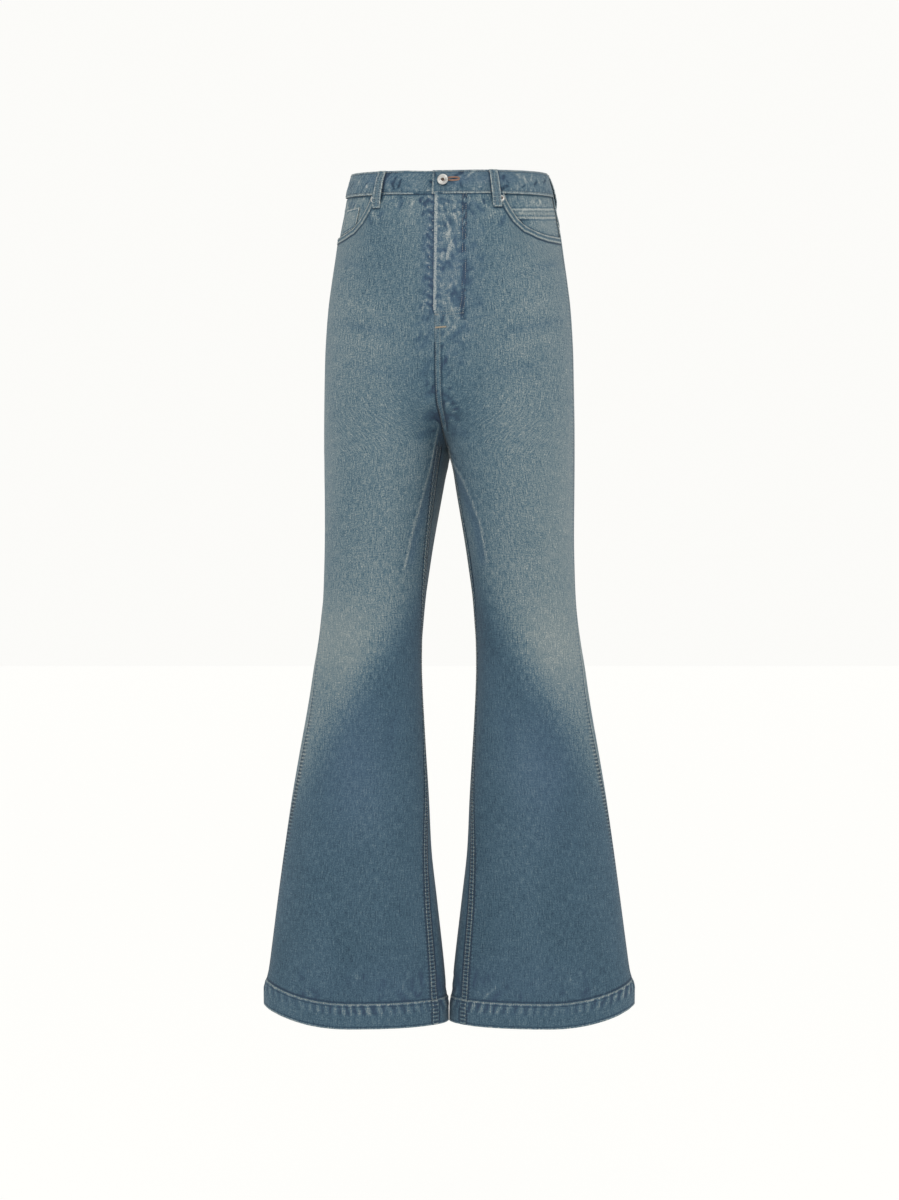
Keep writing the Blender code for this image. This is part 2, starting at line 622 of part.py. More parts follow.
def fly_button(name, level):
    place, axis = on_cloth(FLY_BUTTON_FROM_EDGE, level, -(CLOTH + SEAM_GAP + FLY_BUTTON_HEIGHT))
    r, h = FLY_BUTTON_RADIUS, FLY_BUTTON_HEIGHT
    profile = [(0, 0.1), (r - 0.8, 0.1), (r, 0.9), (r, h - 0.9), (r - 0.8, h), (0, h)]
    return add_turned(name, profile, place, axis, 16, "steel")


def waistband(name):
    """One folded strip, buttoned left over right, so that its right end passes under its left end."""
    girth = 2 * half_girth(0.0)
    start, end = -BAND_END_PAST_FRONT, girth + BAND_UNDERLAP
    distances = np.concatenate([[start, 0.0, 12.0, 26.0, 40.0],
                                np.linspace(58.0, girth - 64.0, 40),
                                [girth - 46.0, girth - 34.0, girth - 22.0, girth - 10.0, girth + 4.0,
                                 girth + 20.0, end]])
    step_in = BAND_WALL + SEAM_GAP
    depth = step_in * ease((distances - (girth - 46.0)) / 34.0)
    outer, inner = [], []
    for share in (0.0, 0.5, 1.0):
        outer_row, inner_row = [], []
        for distance, sunk in zip(distances, depth):
            turn = distance / (girth / 2)
            level = level_round_the_waist(turn, BAND_HEIGHT * share)
            outer_row.append(round_the_body(turn, level, BAND_PROUD - sunk))
            inner_row.append(round_the_body(turn, level, BAND_PROUD - BAND_WALL - sunk))
        outer.append(outer_row)
        inner.append(inner_row)
    return add_wall(name, np.array(outer), np.array(inner), "denim_band")


def belt_loop(name, share):
    """A folded strip from the band's top edge to below its seam, standing off in the middle."""
    heights = np.array([0.0, 0.06, 0.16, 0.30, 0.45, 0.60, 0.72, 0.84, 0.93, 1.0])
    stand = np.array([1.4, 1.6, 2.9, 3.6, 3.8, 3.8, 3.7, 2.6, 0.8, 0.6])
    half = LOOP_WIDTH / 2
    outer, inner = [], []
    for height, proud in zip(heights, stand):
        outer_row, inner_row = [], []
        for offset, crown in ((-half, 0.0), (-half * 0.55, 0.35), (half * 0.55, 0.35), (half, 0.0)):
            level = level_round_the_waist(share, 0.6 + LOOP_LENGTH * height)
            across = share + offset / half_girth(level)
            outer_row.append(round_the_body(across, level, proud + LOOP_WALL + crown))
            inner_row.append(round_the_body(across, level, proud))
        outer.append(outer_row)
        inner.append(inner_row)
    return add_wall(name, np.array(outer), np.array(inner), "denim_band")


def waist_button(name):
    """A dished shank button on the overlapping end of the band."""
    level = level_round_the_waist(BUTTON_FROM_CENTRE / half_girth(0.0), BAND_HEIGHT * 0.44)
    place, axis = on_cloth(BUTTON_FROM_CENTRE, level, BAND_PROUD + SEAM_GAP)
    r = BUTTON_RADIUS
    profile = [(0, 0), (3.6, 0), (3.6, 1.6), (r - 0.9, 1.8), (r, 2.7), (r - 0.3, 3.7), (r - 1.6, 4.4),
               (r - 3.0, 4.3), (r - 4.2, 3.4), (1.4, 3.2), (0, 3.5)]
    return add_turned(name, profile, place, axis, 20, "steel")


def rivet(name, side):
    distance = side * (POCKET_FROM_CENTRE - RIVET_BEFORE_POCKET)
    level = level_round_the_waist(distance / half_girth(-25.0), BAND_HEIGHT + RIVET_BELOW_BAND)
    place, axis = on_cloth(distance, level, SEAM_GAP)
    r = RIVET_RADIUS
    profile = [(0, 0), (r, 0), (r, 0.5), (r * 0.78, 1.3), (r * 0.42, 1.5), (r * 0.3, 1.2), (0, 1.2)]
    return add_turned(name, profile, place, axis, 14, "steel")


# ------------------------------------------------------------------ the jeans
def build():
    for old in list(bpy.data.objects):
        bpy.data.objects.remove(old)
    for side, word in ((1, "left"), (-1, "right")):
        front_panel(side, f"front_{word}")
        back_panel(side, f"back_{word}")
        yoke(side, f"yoke_{word}")
        pocket_facing(side, f"pocket_facing_{word}")
        back_pocket(side, f"back_pocket_{word}")
        rivet(f"rivet_{word}", side)
    coin_pocket(-1, "coin_pocket")
    fly_shield("fly_shield")
    for k in range(FLY_BUTTONS):
        fly_button(f"fly_button_{k + 1}", FIRST_FLY_BUTTON - FLY_BUTTON_STEP * k)
    waistband("waistband")
    front_loop = FRONT_LOOP_FROM_CENTRE / half_girth(-20.0)
    side_loop = float(distance_at(SIDE_LOOP_ANGLE, -20.0)) / half_girth(-20.0)
    for name, share in (("front_left", front_loop), ("front_right", -front_loop), ("side_left", side_loop),
                        ("side_right", -side_loop), ("back", 1.0)):
        belt_loop(f"belt_loop_{name}", share)
    waist_button("waist_button")


build()
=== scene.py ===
"""The looks of the bootcut jeans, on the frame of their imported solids.

Every cut piece is a thin closed shell of cloth over the same rings as its solid: a place is a ring
angle (0 faces the other leg, 90 the front, 180 the outer side, 270 the back) and a level. Folds,
puckers and seams lift the shell; wear is stored at its points and read by the denim's material.
Lengths are millimetres until a mesh is made. Places named "seen" are pixels of the 899 x 1200
picture, as the camera sees them.
"""
import functools

import bmesh
import bpy
import numpy as np
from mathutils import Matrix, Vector


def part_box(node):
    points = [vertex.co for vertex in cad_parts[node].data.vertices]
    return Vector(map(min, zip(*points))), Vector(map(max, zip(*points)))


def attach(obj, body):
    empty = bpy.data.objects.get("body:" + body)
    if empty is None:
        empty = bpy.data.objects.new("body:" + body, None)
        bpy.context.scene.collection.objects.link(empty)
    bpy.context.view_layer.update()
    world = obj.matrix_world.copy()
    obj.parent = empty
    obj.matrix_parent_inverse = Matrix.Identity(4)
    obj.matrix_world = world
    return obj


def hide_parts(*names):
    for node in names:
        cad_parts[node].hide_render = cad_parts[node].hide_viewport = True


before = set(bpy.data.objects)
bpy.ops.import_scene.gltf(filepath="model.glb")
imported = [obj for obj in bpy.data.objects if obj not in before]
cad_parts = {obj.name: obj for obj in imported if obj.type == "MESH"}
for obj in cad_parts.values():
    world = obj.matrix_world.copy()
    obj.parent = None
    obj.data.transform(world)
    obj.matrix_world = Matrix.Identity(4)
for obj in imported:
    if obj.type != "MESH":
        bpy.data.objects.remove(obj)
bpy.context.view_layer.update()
MM = 0.001

# ------------------------------------------------------------------ camera, floor and light
CAMERA_DISTANCE = 3300.0
CAMERA_LEVEL = -620.0
CAMERA_ACROSS = 0.45
LENS = 66.0
PICTURE_MIDDLE = (449.5, 600.0)
MM_A_PIXEL = 1.5            # in the plane through the origin
FLOOR_LEVEL = -1.62         # metres, as is the floor's reach
FLOOR_REACH = 30
SURROUND = (0.972, 0.968, 0.945)


def seen_from_front(points):
    """Where points, in millimetres, stand in the picture, in pixels across and down."""
    scale = CAMERA_DISTANCE / (points[..., 1] + CAMERA_DISTANCE) / MM_A_PIXEL
    return (PICTURE_MIDDLE[0] + (points[..., 0] - CAMERA_ACROSS) * scale,
            PICTURE_MIDDLE[1] - (points[..., 2] - CAMERA_LEVEL) * scale)


def add_object(name, data):
    made = bpy.data.objects.new(name, data)
    bpy.context.collection.objects.link(made)
    return made


def add_camera():
    data = bpy.data.cameras.new("camera")
    data.lens = LENS
    camera = add_object("camera", data)
    camera.location = (CAMERA_ACROSS * MM, -CAMERA_DISTANCE * MM, CAMERA_LEVEL * MM)
    camera.rotation_euler = (np.pi / 2, 0, 0)
    bpy.context.scene.camera = camera


def add_softbox(name, place, aim, size, power):
    data = bpy.data.lights.new(name, "AREA")
    data.shape = "RECTANGLE"
    data.size, data.size_y = size
    data.energy = power
    lamp = add_object(name, data)
    lamp.location = place
    lamp.rotation_euler = (Vector(aim) - Vector(place)).to_track_quat("-Z", "Y").to_euler()


def add_studio(ambient):
    """A near-white surround that lights the jeans with only a share of its brightness."""
    world = bpy.data.worlds.new("studio")
    world.use_nodes = True
    nodes, links = world.node_tree.nodes, world.node_tree.links
    shown, soft = nodes["Background"], nodes.new("ShaderNodeBackground")
    shown.inputs["Color"].default_value = (*SURROUND, 1.0)
    soft.inputs["Color"].default_value = (*SURROUND, 1.0)
    soft.inputs["Strength"].default_value = ambient
    ray, mix = nodes.new("ShaderNodeLightPath"), nodes.new("ShaderNodeMixShader")
    links.new(ray.outputs["Is Camera Ray"], mix.inputs[0])
    links.new(soft.outputs[0], mix.inputs[1])
    links.new(shown.outputs[0], mix.inputs[2])
    links.new(mix.outputs[0], nodes["World Output"].inputs["Surface"])
    bpy.context.scene.world = world


# ------------------------------------------------------------------ shader maths
class Socket:
    """A shader value that can be added, multiplied and mixed with plain Python."""

    def __init__(self, tree, output):
        self.tree, self.output = tree, output

    def math(self, operation, *values):
        return self.tree.node("ShaderNodeMath", {"operation": operation}, list(values))

    def __add__(self, other):
        return self.math("ADD", self, other)

    def __sub__(self, other):
        return self.math("SUBTRACT", self, other)

    def __rsub__(self, other):
        return self.math("SUBTRACT", other, self)

    def __mul__(self, other):
        return self.math("MULTIPLY", self, other)

    def __truediv__(self, other):
        return self.math("DIVIDE", self, other)

    def sine(self):
        return self.math("SINE", self)

    def clamped(self):
        return self.tree.node("ShaderNodeClamp", {}, [self, 0.0, 1.0])

    def between(self, low, high):
        """0 below low and 1 above high, with soft ends."""
        settings = {"interpolation_type": "SMOOTHSTEP"}
        return self.tree.node("ShaderNodeMapRange", settings, [self, low, high, 0.0, 1.0])

    def line(self, centre, width):
        """1 where the value is at the centre, fading over the width on both sides."""
        off = (self - centre) / width
        return self.math("EXPONENT", off * off * -1.0)

    __radd__, __rmul__ = __add__, __mul__


class Finish:
    """A material and the nodes that it is made from."""

    def __init__(self, name, roughness=0.8, metallic=0.0, sheen=0.0):
        self.material = bpy.data.materials.new(name)
        self.material.use_nodes = True
        self.nodes = self.material.node_tree.nodes
        self.shader = self.nodes["Principled BSDF"]
        for socket, value in (("Roughness", roughness), ("Metallic", metallic), ("Sheen Weight", sheen)):
            self.shader.inputs[socket].default_value = value

    def node(self, kind, settings, values, output=0):
        """A node of a kind, its settings made first, its sockets given values or links by place or name."""
        node = self.nodes.new(kind)
        for name, value in settings.items():
            if name == "stops":
                ramp = node.color_ramp
                while len(ramp.elements) < len(value):
                    ramp.elements.new(0.5)
                for element, (place, colour) in zip(ramp.elements, value):
                    element.position, element.color = place, (*colour, 1.0)
            else:
                setattr(node, name, value)
        for key, value in (values.items() if isinstance(values, dict) else enumerate(values)):
            self.feed(node.inputs[key], value)
        return Socket(self, node.outputs[output])

    def feed(self, socket, value):
        if isinstance(value, Socket):
            self.material.node_tree.links.new(value.output, socket)
        elif isinstance(value, tuple) and len(value) == 3 and len(socket.default_value) == 4:
            socket.default_value = (*value, 1.0)
        else:
            socket.default_value = value

    def set(self, name, value):
        """Links or fixes one of the main shader's inputs."""
        self.feed(self.shader.inputs[name], value)

    def attribute(self, name):
        return self.node("ShaderNodeAttribute", {"attribute_name": name}, [], output=2)

    def uv(self, scale):
        """The cloth's own coordinates, in metres, times a scale."""
        place = self.node("ShaderNodeUVMap", {"uv_map": "cloth"}, [])
        return self.node("ShaderNodeMapping", {}, {"Vector": place, "Scale": scale})

    def place(self, scale):
        """The object's coordinates, in metres, times a scale."""
        where = self.node("ShaderNodeTexCoord", {}, [], output=3)
        return self.node("ShaderNodeMapping", {}, {"Vector": where, "Scale": scale})

    def noise(self, vector, scale, detail=2.0, roughness=0.5):
        """Noise about 0, from -1 to 1."""
        values = {"Vector": vector, "Scale": scale, "Detail": detail, "Roughness": roughness}
        return (self.node("ShaderNodeTexNoise", {}, values) - 0.5) * 2.0

    def mix(self, share, first, second):
        """A colour between two, by the share of the second."""
        return self.node("ShaderNodeMix", {"data_type": "RGBA"}, {0: share, 6: first, 7: second}, output=2)

    def bump(self, height, distance, **under):
        return self.node("ShaderNodeBump", {}, {"Distance": distance, "Height": height, **under})

    def twill(self, lean, distortion, **more):
        """The cloth's slanting ribs, from 0 to 1."""
        values = {"Vector": self.uv((lean, 0.62, 1.0)), "Scale": 0.31 / TWILL_PITCH, "Distortion": distortion}
        settings = {"wave_type": "BANDS", "bands_direction": "DIAGONAL"}
        return self.node("ShaderNodeTexWave", settings, {**values, **more})


# The denim's colour by its tone: 0 is deep indigo, 1 is worn to pale thread.
DENIM_TONES = (
    (0.00, (0.012, 0.034, 0.062)),
    (0.18, (0.028, 0.070, 0.107)),
    (0.36, (0.057, 0.121, 0.170)),
    (0.60, (0.133, 0.200, 0.232)),
    (0.82, (0.236, 0.284, 0.289)),
    (1.00, (0.420, 0.455, 0.440)),
)
INDIGO_TINT = (0.075, 0.130, 0.235)
SLUB_LENGTH = 0.013         # metres; thick and thin stretches of one thread
SLUB_WIDTH = 0.0019
TWILL_PITCH = 0.0011
BEAD_PITCH = 0.0056         # puckers of a felled seam


def denim(name, brighter=0.0):
    """Worn denim: its tone comes from the cloth's stored wear and painted shade, broken up by slubs,
    speckle and twill.

    rim and gap are distances in millimetres: a sewn edge is worn pale, with painted shade in the
    groove beside it, and painted shade is laid along seams, grooves and openings where gap is 0.
    """
    f = Finish(name, roughness=0.86, sheen=0.10)
    tone, blue = f.attribute("tone"), f.attribute("blue")
    worn, bead = f.attribute("worn"), f.attribute("bead")
    rim, gap = f.attribute("rim"), f.attribute("gap")
    slubs = f.noise(f.uv((1 / SLUB_WIDTH, 1 / SLUB_LENGTH, 1.0)), 1.0, 3.0, 0.6)
    across = f.noise(f.uv((1 / 0.012, 1 / 0.0022, 1.0)), 1.0, 2.0, 0.5)
    speckle = f.noise(f.uv((1 / 0.0019, 1 / 0.0021, 1.0)), 1.0, 2.0, 0.75)
    clouds = f.noise(f.place((1.0, 1.0, 0.55)), 15.0, 3.0, 0.6)
    twill = f.twill(1.0, 1.5, **{"Detail": 1.0, "Detail Scale": 2.0})
    along = f.node("ShaderNodeSeparateXYZ", {}, [f.uv((1.0, 1.0, 1.0))], output=1)
    beads = (along * (2 * np.pi / BEAD_PITCH) + clouds * 3.0 + speckle * 0.8).sine()
    worn = worn + rim.line(0.7, 1.0) * (0.85 + speckle * 0.9)
    # painted shade: in the groove beside a worn edge, and along seams, grooves and openings
    painted_groove_and_seam_shade = rim.line(3.2, 1.0) * 0.28 + gap.line(0.0, 2.1) * 0.52
    texture = slubs * 0.50 + across * 0.16 + speckle * 0.70 + clouds * 0.12 + (twill - 0.5) * 0.06
    tone = tone - painted_groove_and_seam_shade * (1.0 + clouds * 0.8)
    tone = tone + texture * (tone.between(0.20, 0.50) * 0.40 - tone.between(0.55, 0.75) * 0.35 + 0.68)
    # the felled seams' puckers: paler tops and darker hollows, partly wear and partly painted light and shade
    tone = tone + beads * bead * 0.30 + brighter
    tone = tone + worn * (0.40 + speckle * 0.50 + slubs * 0.25)
    colour = f.node("ShaderNodeValToRGB", {"stops": DENIM_TONES}, [tone.clamped()])
    colour = f.mix((blue + clouds * 0.12).clamped() * 0.55, colour, INDIGO_TINT)
    f.set("Base Color", colour)
    fine = f.bump(twill * 0.5 + speckle * 0.7 + slubs * 0.5, 0.00022)
    f.set("Normal", f.bump(beads * bead, 0.0009, Normal=fine))
    f.set("Roughness", (0.88 - worn * 0.06).clamped())
    return f.material


def denim_inside():
    """The cloth's inner face, where the undyed weft shows."""
    f = Finish("denim_inside", roughness=0.9, sheen=0.2)
    slubs = f.noise(f.uv((1 / SLUB_WIDTH, 1 / SLUB_LENGTH, 1.0)), 1.0, 3.0, 0.6)
    speckle = f.noise(f.uv((1 / 0.0020, 1 / 0.0020, 1.0)), 1.0, 2.0, 0.7)
    twill = f.twill(-1.0, 1.0)
    share = (0.5 + slubs * 0.25 + speckle * 0.25 + (twill - 0.5) * 0.3).clamped()
    f.set("Base Color", f.mix(share, (0.16, 0.21, 0.25), (0.42, 0.46, 0.47)))
    f.set("Normal", f.bump(twill * 0.6 + speckle * 0.6, 0.00022))
    return f.material


def metal(name, colour, roughness):
    """Plain cast metal, a little scuffed and unevenly dulled."""
    f = Finish(name, roughness=roughness, metallic=1.0)
    scuffs = f.noise(f.place((1.0, 1.0, 1.0)), 900.0, 4.0, 0.65)
    dull = f.noise(f.place((1.0, 1.0, 1.0)), 260.0, 2.0)
    f.set("Base Color", f.mix((0.45 + dull * 0.3).clamped(), tuple(c * 0.86 for c in colour), colour))
    f.set("Roughness", (roughness + scuffs * 0.10).clamped())
    f.set("Normal", f.bump(scuffs, 0.00006))
    return f.material


def thread(name, colour, dark):
    """Sewing thread that has faded unevenly."""
    f = Finish(name, roughness=0.62, sheen=0.3)
    fade = f.noise(f.place((1.0, 1.0, 1.0)), 170.0, 3.0, 0.6)
    f.set("Base Color", f.mix((0.5 + fade * 0.9).clamped(), dark, colour))
    return f.material


# ------------------------------------------------------------------ the form, as in the part's source
SEAM_GAP = 0.3
BAND_HEIGHT = 35.0
BAND_SEAM_GAP = 0.5
BAND_PROUD = 1.0
BAND_END_PAST_FRONT = 6.0
BAND_UNDERLAP = 36.0
WAIST_TILT = 12.0
SIDE_TOP = 17.5
FLY_WIDTH = 42.0
FLY_LENGTH = 188.0
POCKET_FROM_CENTRE = 101.0
YOKE_SIDE = -58.0
YOKE_CENTRE = -96.0
BACK_POCKET_WIDTH = 150.0
BACK_POCKET_HEIGHT = 128.0
BACK_POCKET_POINT = 24.0
BACK_POCKET_TOP = -122.0
BACK_POCKET_FROM_CENTRE = 112.0
BACK_POCKET_NARROWS = 0.10
POCKET_LEVEL = -40.0        # where distances from the centre are measured for the pockets
LOOP_FROM_CENTRE = 83.0
SIDE_LOOP_ANGLE = 193.0
FORK = -368.0
HEM_DEPTH = 37.0
HEM_PROUD = 0.9
FRONT_HEM_LEVEL = -1252.0
HEM_RISE_OUTER = 27.0
HEM_RISE_INNER = 2.0
LOOP_WIDTH = 11.5
LOOP_LENGTH = 55.0
SQUARENESS = 2.15
MM_A_DEGREE = 1.7
CLOTH = 1.3                 # wall of the shells

# A row for each section of the garment. All but the rises and the turn are millimetres.
#   level   height above the origin
#   outer   how far the outer side reaches from the middle
#   mid     where the ring is deepest
#   inner   how far the inner side stays from the middle, below the fork
#   front, back   depths of the ring from its own middle line
#   lean    that middle line's place, + is backwards
#   rise_f, rise_b   share of the depth that is left at the centre seam
#   turn    degrees that the section is turned towards the wearer's right
SECTION_COLUMNS = ("level", "outer", "mid", "inner", "front", "back", "lean", "rise_f", "rise_b", "turn")
SECTIONS = (
    (  40, 143.5,  36,  0.0,  97,  98, 0, 0.9997, 0.9995, 10.5),
    (  16, 147.2,  38,  0.0,  98, 100, 0, 0.9997, 0.9995, 10.5),
    ( -11, 154.4,  42,  0.0, 102, 107, 0, 0.9996, 0.9990, 10.5),
    ( -38, 159.2,  46,  0.0, 106, 115, 0, 0.9994, 0.9980, 10.4),
    ( -74, 166.4,  52,  0.0, 111, 124, 0, 0.999, 0.996, 10.2),
    (-110, 171.7,  57,  0.0, 115, 131, 0, 0.998, 0.993, 10.0),
    (-146, 177.0,  62,  0.0, 118, 137, 0, 0.997, 0.989, 10.0),
    (-182, 181.6,  67,  0.0, 120, 141, 0, 0.996, 0.984, 10.0),
    (-218, 184.3,  72,  0.0, 121, 143, 0, 0.994, 0.977, 10.0),
    (-254, 186.0,  77,  0.0, 121, 143, 0, 0.990, 0.966, 10.0),
    (-290, 186.6,  82,  0.0, 121, 141, 0, 0.982, 0.944, 10.0),
    (-312, 186.9,  85,  0.0, 120, 139, 0, 0.962, 0.905, 10.0),
    (-330, 187.1,  87,  0.0, 119, 137, 0, 0.910, 0.845, 10.0),
    (-346, 187.3,  89,  0.0, 118, 135, 0, 0.760, 0.765, 9.9),
    (-361, 187.4,  91,  0.0, 117, 133, 0, 0.570, 0.655, 9.8),
    (-368, 187.4,  92,  0.0, 117, 132, 0, 0.480, 0.595, 9.7),
    (-378, 187.4,  93,  0.0, 116, 131, 0, 0.365, 0.500, 9.6),
    (-390, 187.4,  94,  0.1, 116, 129, 0, 0.190, 0.320, 9.4),
    (-398, 187.4,  95,  0.5, 115, 128, 0, 0.000, 0.000, 9.3),
    (-410, 187.3,  96,  3.4, 115, 126, 1, 0.000, 0.000, 9.1),
    (-434, 187.2,  98,  8.2, 113, 123, 1, 0.000, 0.000, 8.6),
    (-470, 187.0, 101, 14.4, 109, 117, 2, 0.000, 0.000, 7.8),
    (-506, 186.9, 104, 20.2, 104, 110, 2, 0.000, 0.000, 6.8),
    (-542, 187.2, 107, 25.6,  98, 104, 2, 0.000, 0.000, 5.6),
    (-578, 188.0, 110, 30.3,  93,  98, 2, 0.000, 0.000, 4.4),
    (-614, 189.2, 113, 34.8,  88,  93, 2, 0.000, 0.000, 3.2),
    (-650, 192.3, 116, 37.9,  84,  89, 2, 0.000, 0.000, 2.2),
    (-686, 197.0, 120, 40.4,  80,  85, 2, 0.000, 0.000, 1.3),
    (-722, 202.9, 122, 41.0,  76,  82, 2, 0.000, 0.000, 0.6),
    (-758, 208.2, 123, 40.2,  73,  80, 3, 0.000, 0.000, 0.2),
    (-794, 214.2, 125, 38.5,  71,  79, 3, 0.000, 0.000, 0.0),
    (-848, 224.2, 129, 35.1,  70,  79, 4, 0.000, 0.000, 0.0),
    (-920, 236.6, 133, 30.4,  69,  78, 4, 0.000, 0.000, 0.0),
    (-992, 246.8, 136, 26.6,  68,  78, 4, 0.000, 0.000, 0.0),
    (-1064, 256.1, 137, 18.8,  68,  78, 5, 0.000, 0.000, 0.0),
    (-1136, 265.3, 139, 10.8,  68,  78, 5, 0.000, 0.000, 0.0),
    (-1172, 270.3, 140,  7.1,  68,  78, 5, 0.000, 0.000, 0.0),
    (-1208, 277.4, 142,  4.0,  68,  78, 5, 0.000, 0.000, 0.0),
    (-1232, 277.4, 141,  1.6,  68,  78, 5, 0.000, 0.000, 0.0),
    (-1260, 277.4, 141,  1.4,  68,  78, 5, 0.000, 0.000, 0.0),
)

# Angles of the two long seams on the leg's ring, from the waist to the hem.
SEAM_COLUMNS = ("level", "inseam", "outseam")
SEAMS = (
    (  40, 27, 180),
    (-368, 27, 180),
    (-425, 25, 180),
    (-548, 24, 179),
    (-610, 20, 176),
    (-690, 12, 163),
    (-770, 11, 159),
    (-870, 16, 163),
    (-980, 26, 170),
    (-1085, 33, 174),
    (-1260, 35, 176),
)

# The largest folds. side is +1 on the wearer's left, -1 on the right; a fold runs from the
# first place to the second, angle and level; depth in millimetres, - is a trough.
FOLD_COLUMNS = ("side", "angle_a", "level_a", "angle_b", "level_b", "width", "depth")
FOLDS = (
    (-1,  64, -350, 112, -314, 13, -1.6),
    (+1,  64, -350, 112, -314, 13, -1.6),
    (-1,  60, -384,  98, -372, 12, -1.3),
    (+1,  60, -384,  98, -372, 12, -1.3),
    (-1, 236, -622, 312, -640, 20, -4.6),
    (-1, 222, -672, 296, -664, 17, -3.8),
    (-1, 250, -716, 322, -700, 19, -3.2),
    (+1, 228, -612, 306, -634, 19, -4.4),
    (+1, 240, -662, 318, -676, 18, -4.0),
    (+1, 218, -708, 288, -704, 18, -3.0),
    (-1, 252, -372, 322, -412, 20, -3.2),
    (+1, 256, -366, 320, -420, 21, -3.0),
    (-1, 286, -425, 338, -452, 16, -2.4),
    (+1, 282, -432, 334, -448, 16, -2.4),
    (-1, 112, -850, 128, -1180, 26, 3.0),
    (+1, 112, -850, 128, -1180, 26, 3.0),
    (-1, 236, -830, 226, -1200, 30, 4.0),
    (+1, 240, -850, 230, -1200, 29, 3.8),
    (-1, 302, -900, 312, -1200, 26, 3.0),
    (+1, 298, -880, 306, -1200, 27, 3.2),
)

# The front pocket's opening: distance from its inner end, and how far it lies under the band.
POCKET_COLUMNS = ("across", "drop")
POCKET_OPENING = (
    (0.0, 0.0), (2.6, 10.5), (8.0, 25.0), (14.5, 37.5), (25.6, 48.5), (46.0, 56.5), (66.0, 60.0),
    (96.0, 61.0),
)
OPENING_PAST_OUTSEAM = (130.0, 61.0)    # its edge runs on level into the outseam

# ------------------------------------------------------------------ smooth tables
def table(columns, rows):
    """Named columns as arrays, ordered by their first column."""
    data = np.array(sorted(rows), dtype=float)
    return {name: data[:, i] for i, name in enumerate(columns)}


def rows_of(columns, rows):
    """The rows of a table, each by its columns' names."""
    return [dict(zip(columns, row)) for row in rows]


def smooth(x_rows, y_rows, x):
    """A curve through the rows that never swings past them."""
    steps = np.diff(x_rows)
    rates = np.diff(y_rows) / steps
    slopes = np.zeros_like(y_rows)
    slopes[0], slopes[-1] = rates[0], rates[-1]
    same_way = rates[:-1] * rates[1:] > 0
    both = np.where(same_way, rates[:-1] + rates[1:], 1.0)
    slopes[1:-1] = np.where(same_way, 2 * rates[:-1] * rates[1:] / both, 0.0)
    x = np.clip(np.asarray(x, dtype=float), x_rows[0], x_rows[-1])
    i = np.clip(np.searchsorted(x_rows, x) - 1, 0, len(steps) - 1)
    t = (x - x_rows[i]) / steps[i]
    start, end = y_rows[i], y_rows[i + 1]
    pull_start, pull_end = slopes[i] * steps[i], slopes[i + 1] * steps[i]
    return (start * (1 + 2 * t) * (1 - t) ** 2 + pull_start * t * (1 - t) ** 2
            + end * t * t * (3 - 2 * t) - pull_end * t * t * (1 - t))


SECTION = table(SECTION_COLUMNS, SECTIONS)
SEAM = table(SEAM_COLUMNS, SEAMS)
POCKET = table(POCKET_COLUMNS, POCKET_OPENING)


def section(name, level):
    return smooth(SECTION["level"], SECTION[name], level)


def seam_angle(name, level):
    return smooth(SEAM["level"], SEAM[name], level)


def pocket_drop(across):
    return np.where(across < 0, 0.0, smooth(POCKET["across"], POCKET["drop"], across))


def ease(t):
    """0 to 1 with a soft start and end."""
    t = np.clip(t, 0.0, 1.0)
    return t * t * (3 - 2 * t)


# ------------------------------------------------------------------ the leg's surface
def superellipse(angle):
    """Across and forward shares of a ring's half sizes at an angle in degrees."""
    turn = np.radians(angle)
    c, s = np.cos(turn), np.sin(turn)
    power = 2.0 / SQUARENESS
    return np.sign(c) * np.abs(c) ** power, np.sign(s) * np.abs(s) ** power


def narrowed(rise):
    """The share of a ring's half width at which its depth has this share left."""
    return (1 - rise ** SQUARENESS) ** (1 / SQUARENESS)


def base_point(side, angle, level):
    """A point of the cloth's outer face with no folds, millimetres."""
    across, forward = superellipse(angle)
    mid, inner = section("mid", level), section("inner", level)
    narrow = narrowed(np.where(forward > 0, section("rise_f", level), section("rise_b", level)))
    half = np.where(across > 0, (mid - inner) / narrow, section("outer", level) - mid)
    depth = np.where(forward > 0, section("front", level), section("back", level))
    x = side * (mid - half * across)
    y = section("lean", level) - depth * forward
    turn = np.radians(section("turn", level))
    turned_x = x * np.cos(turn) + y * np.sin(turn)
    turned_y = y * np.cos(turn) - x * np.sin(turn)
    return np.stack([turned_x, turned_y, level + 0 * x], axis=-1)


def outward(side, angle, level):
    """Unit vectors out of the cloth."""
    round_the_ring = base_point(side, angle + 0.6, level) - base_point(side, angle - 0.6, level)
    upwards = base_point(side, angle, level + 2.0) - base_point(side, angle, level - 2.0)
    normal = np.asarray(side)[..., None] * np.cross(round_the_ring, upwards)
    return normal / np.linalg.norm(normal, axis=-1, keepdims=True)


def on_ring(row, angle, level, taper=0.3):
    """A table row's stroke round the ring, from its first angle and level to its second."""
    path = ((row["angle_a"] * MM_A_DEGREE, row["level_a"]), (row["angle_b"] * MM_A_DEGREE, row["level_b"]))
    return stroke(angle * MM_A_DEGREE, level, path, row["width"], taper)


def folds(side, angle, level):
    """How far the largest folds lift or sink the cloth."""
    lift = np.zeros(np.broadcast(angle, level).shape)
    for fold in rows_of(FOLD_COLUMNS, FOLDS):
        if fold["side"] == side:
            lift = lift + fold["depth"] * on_ring(fold, angle, level, 0.35)
    return lift


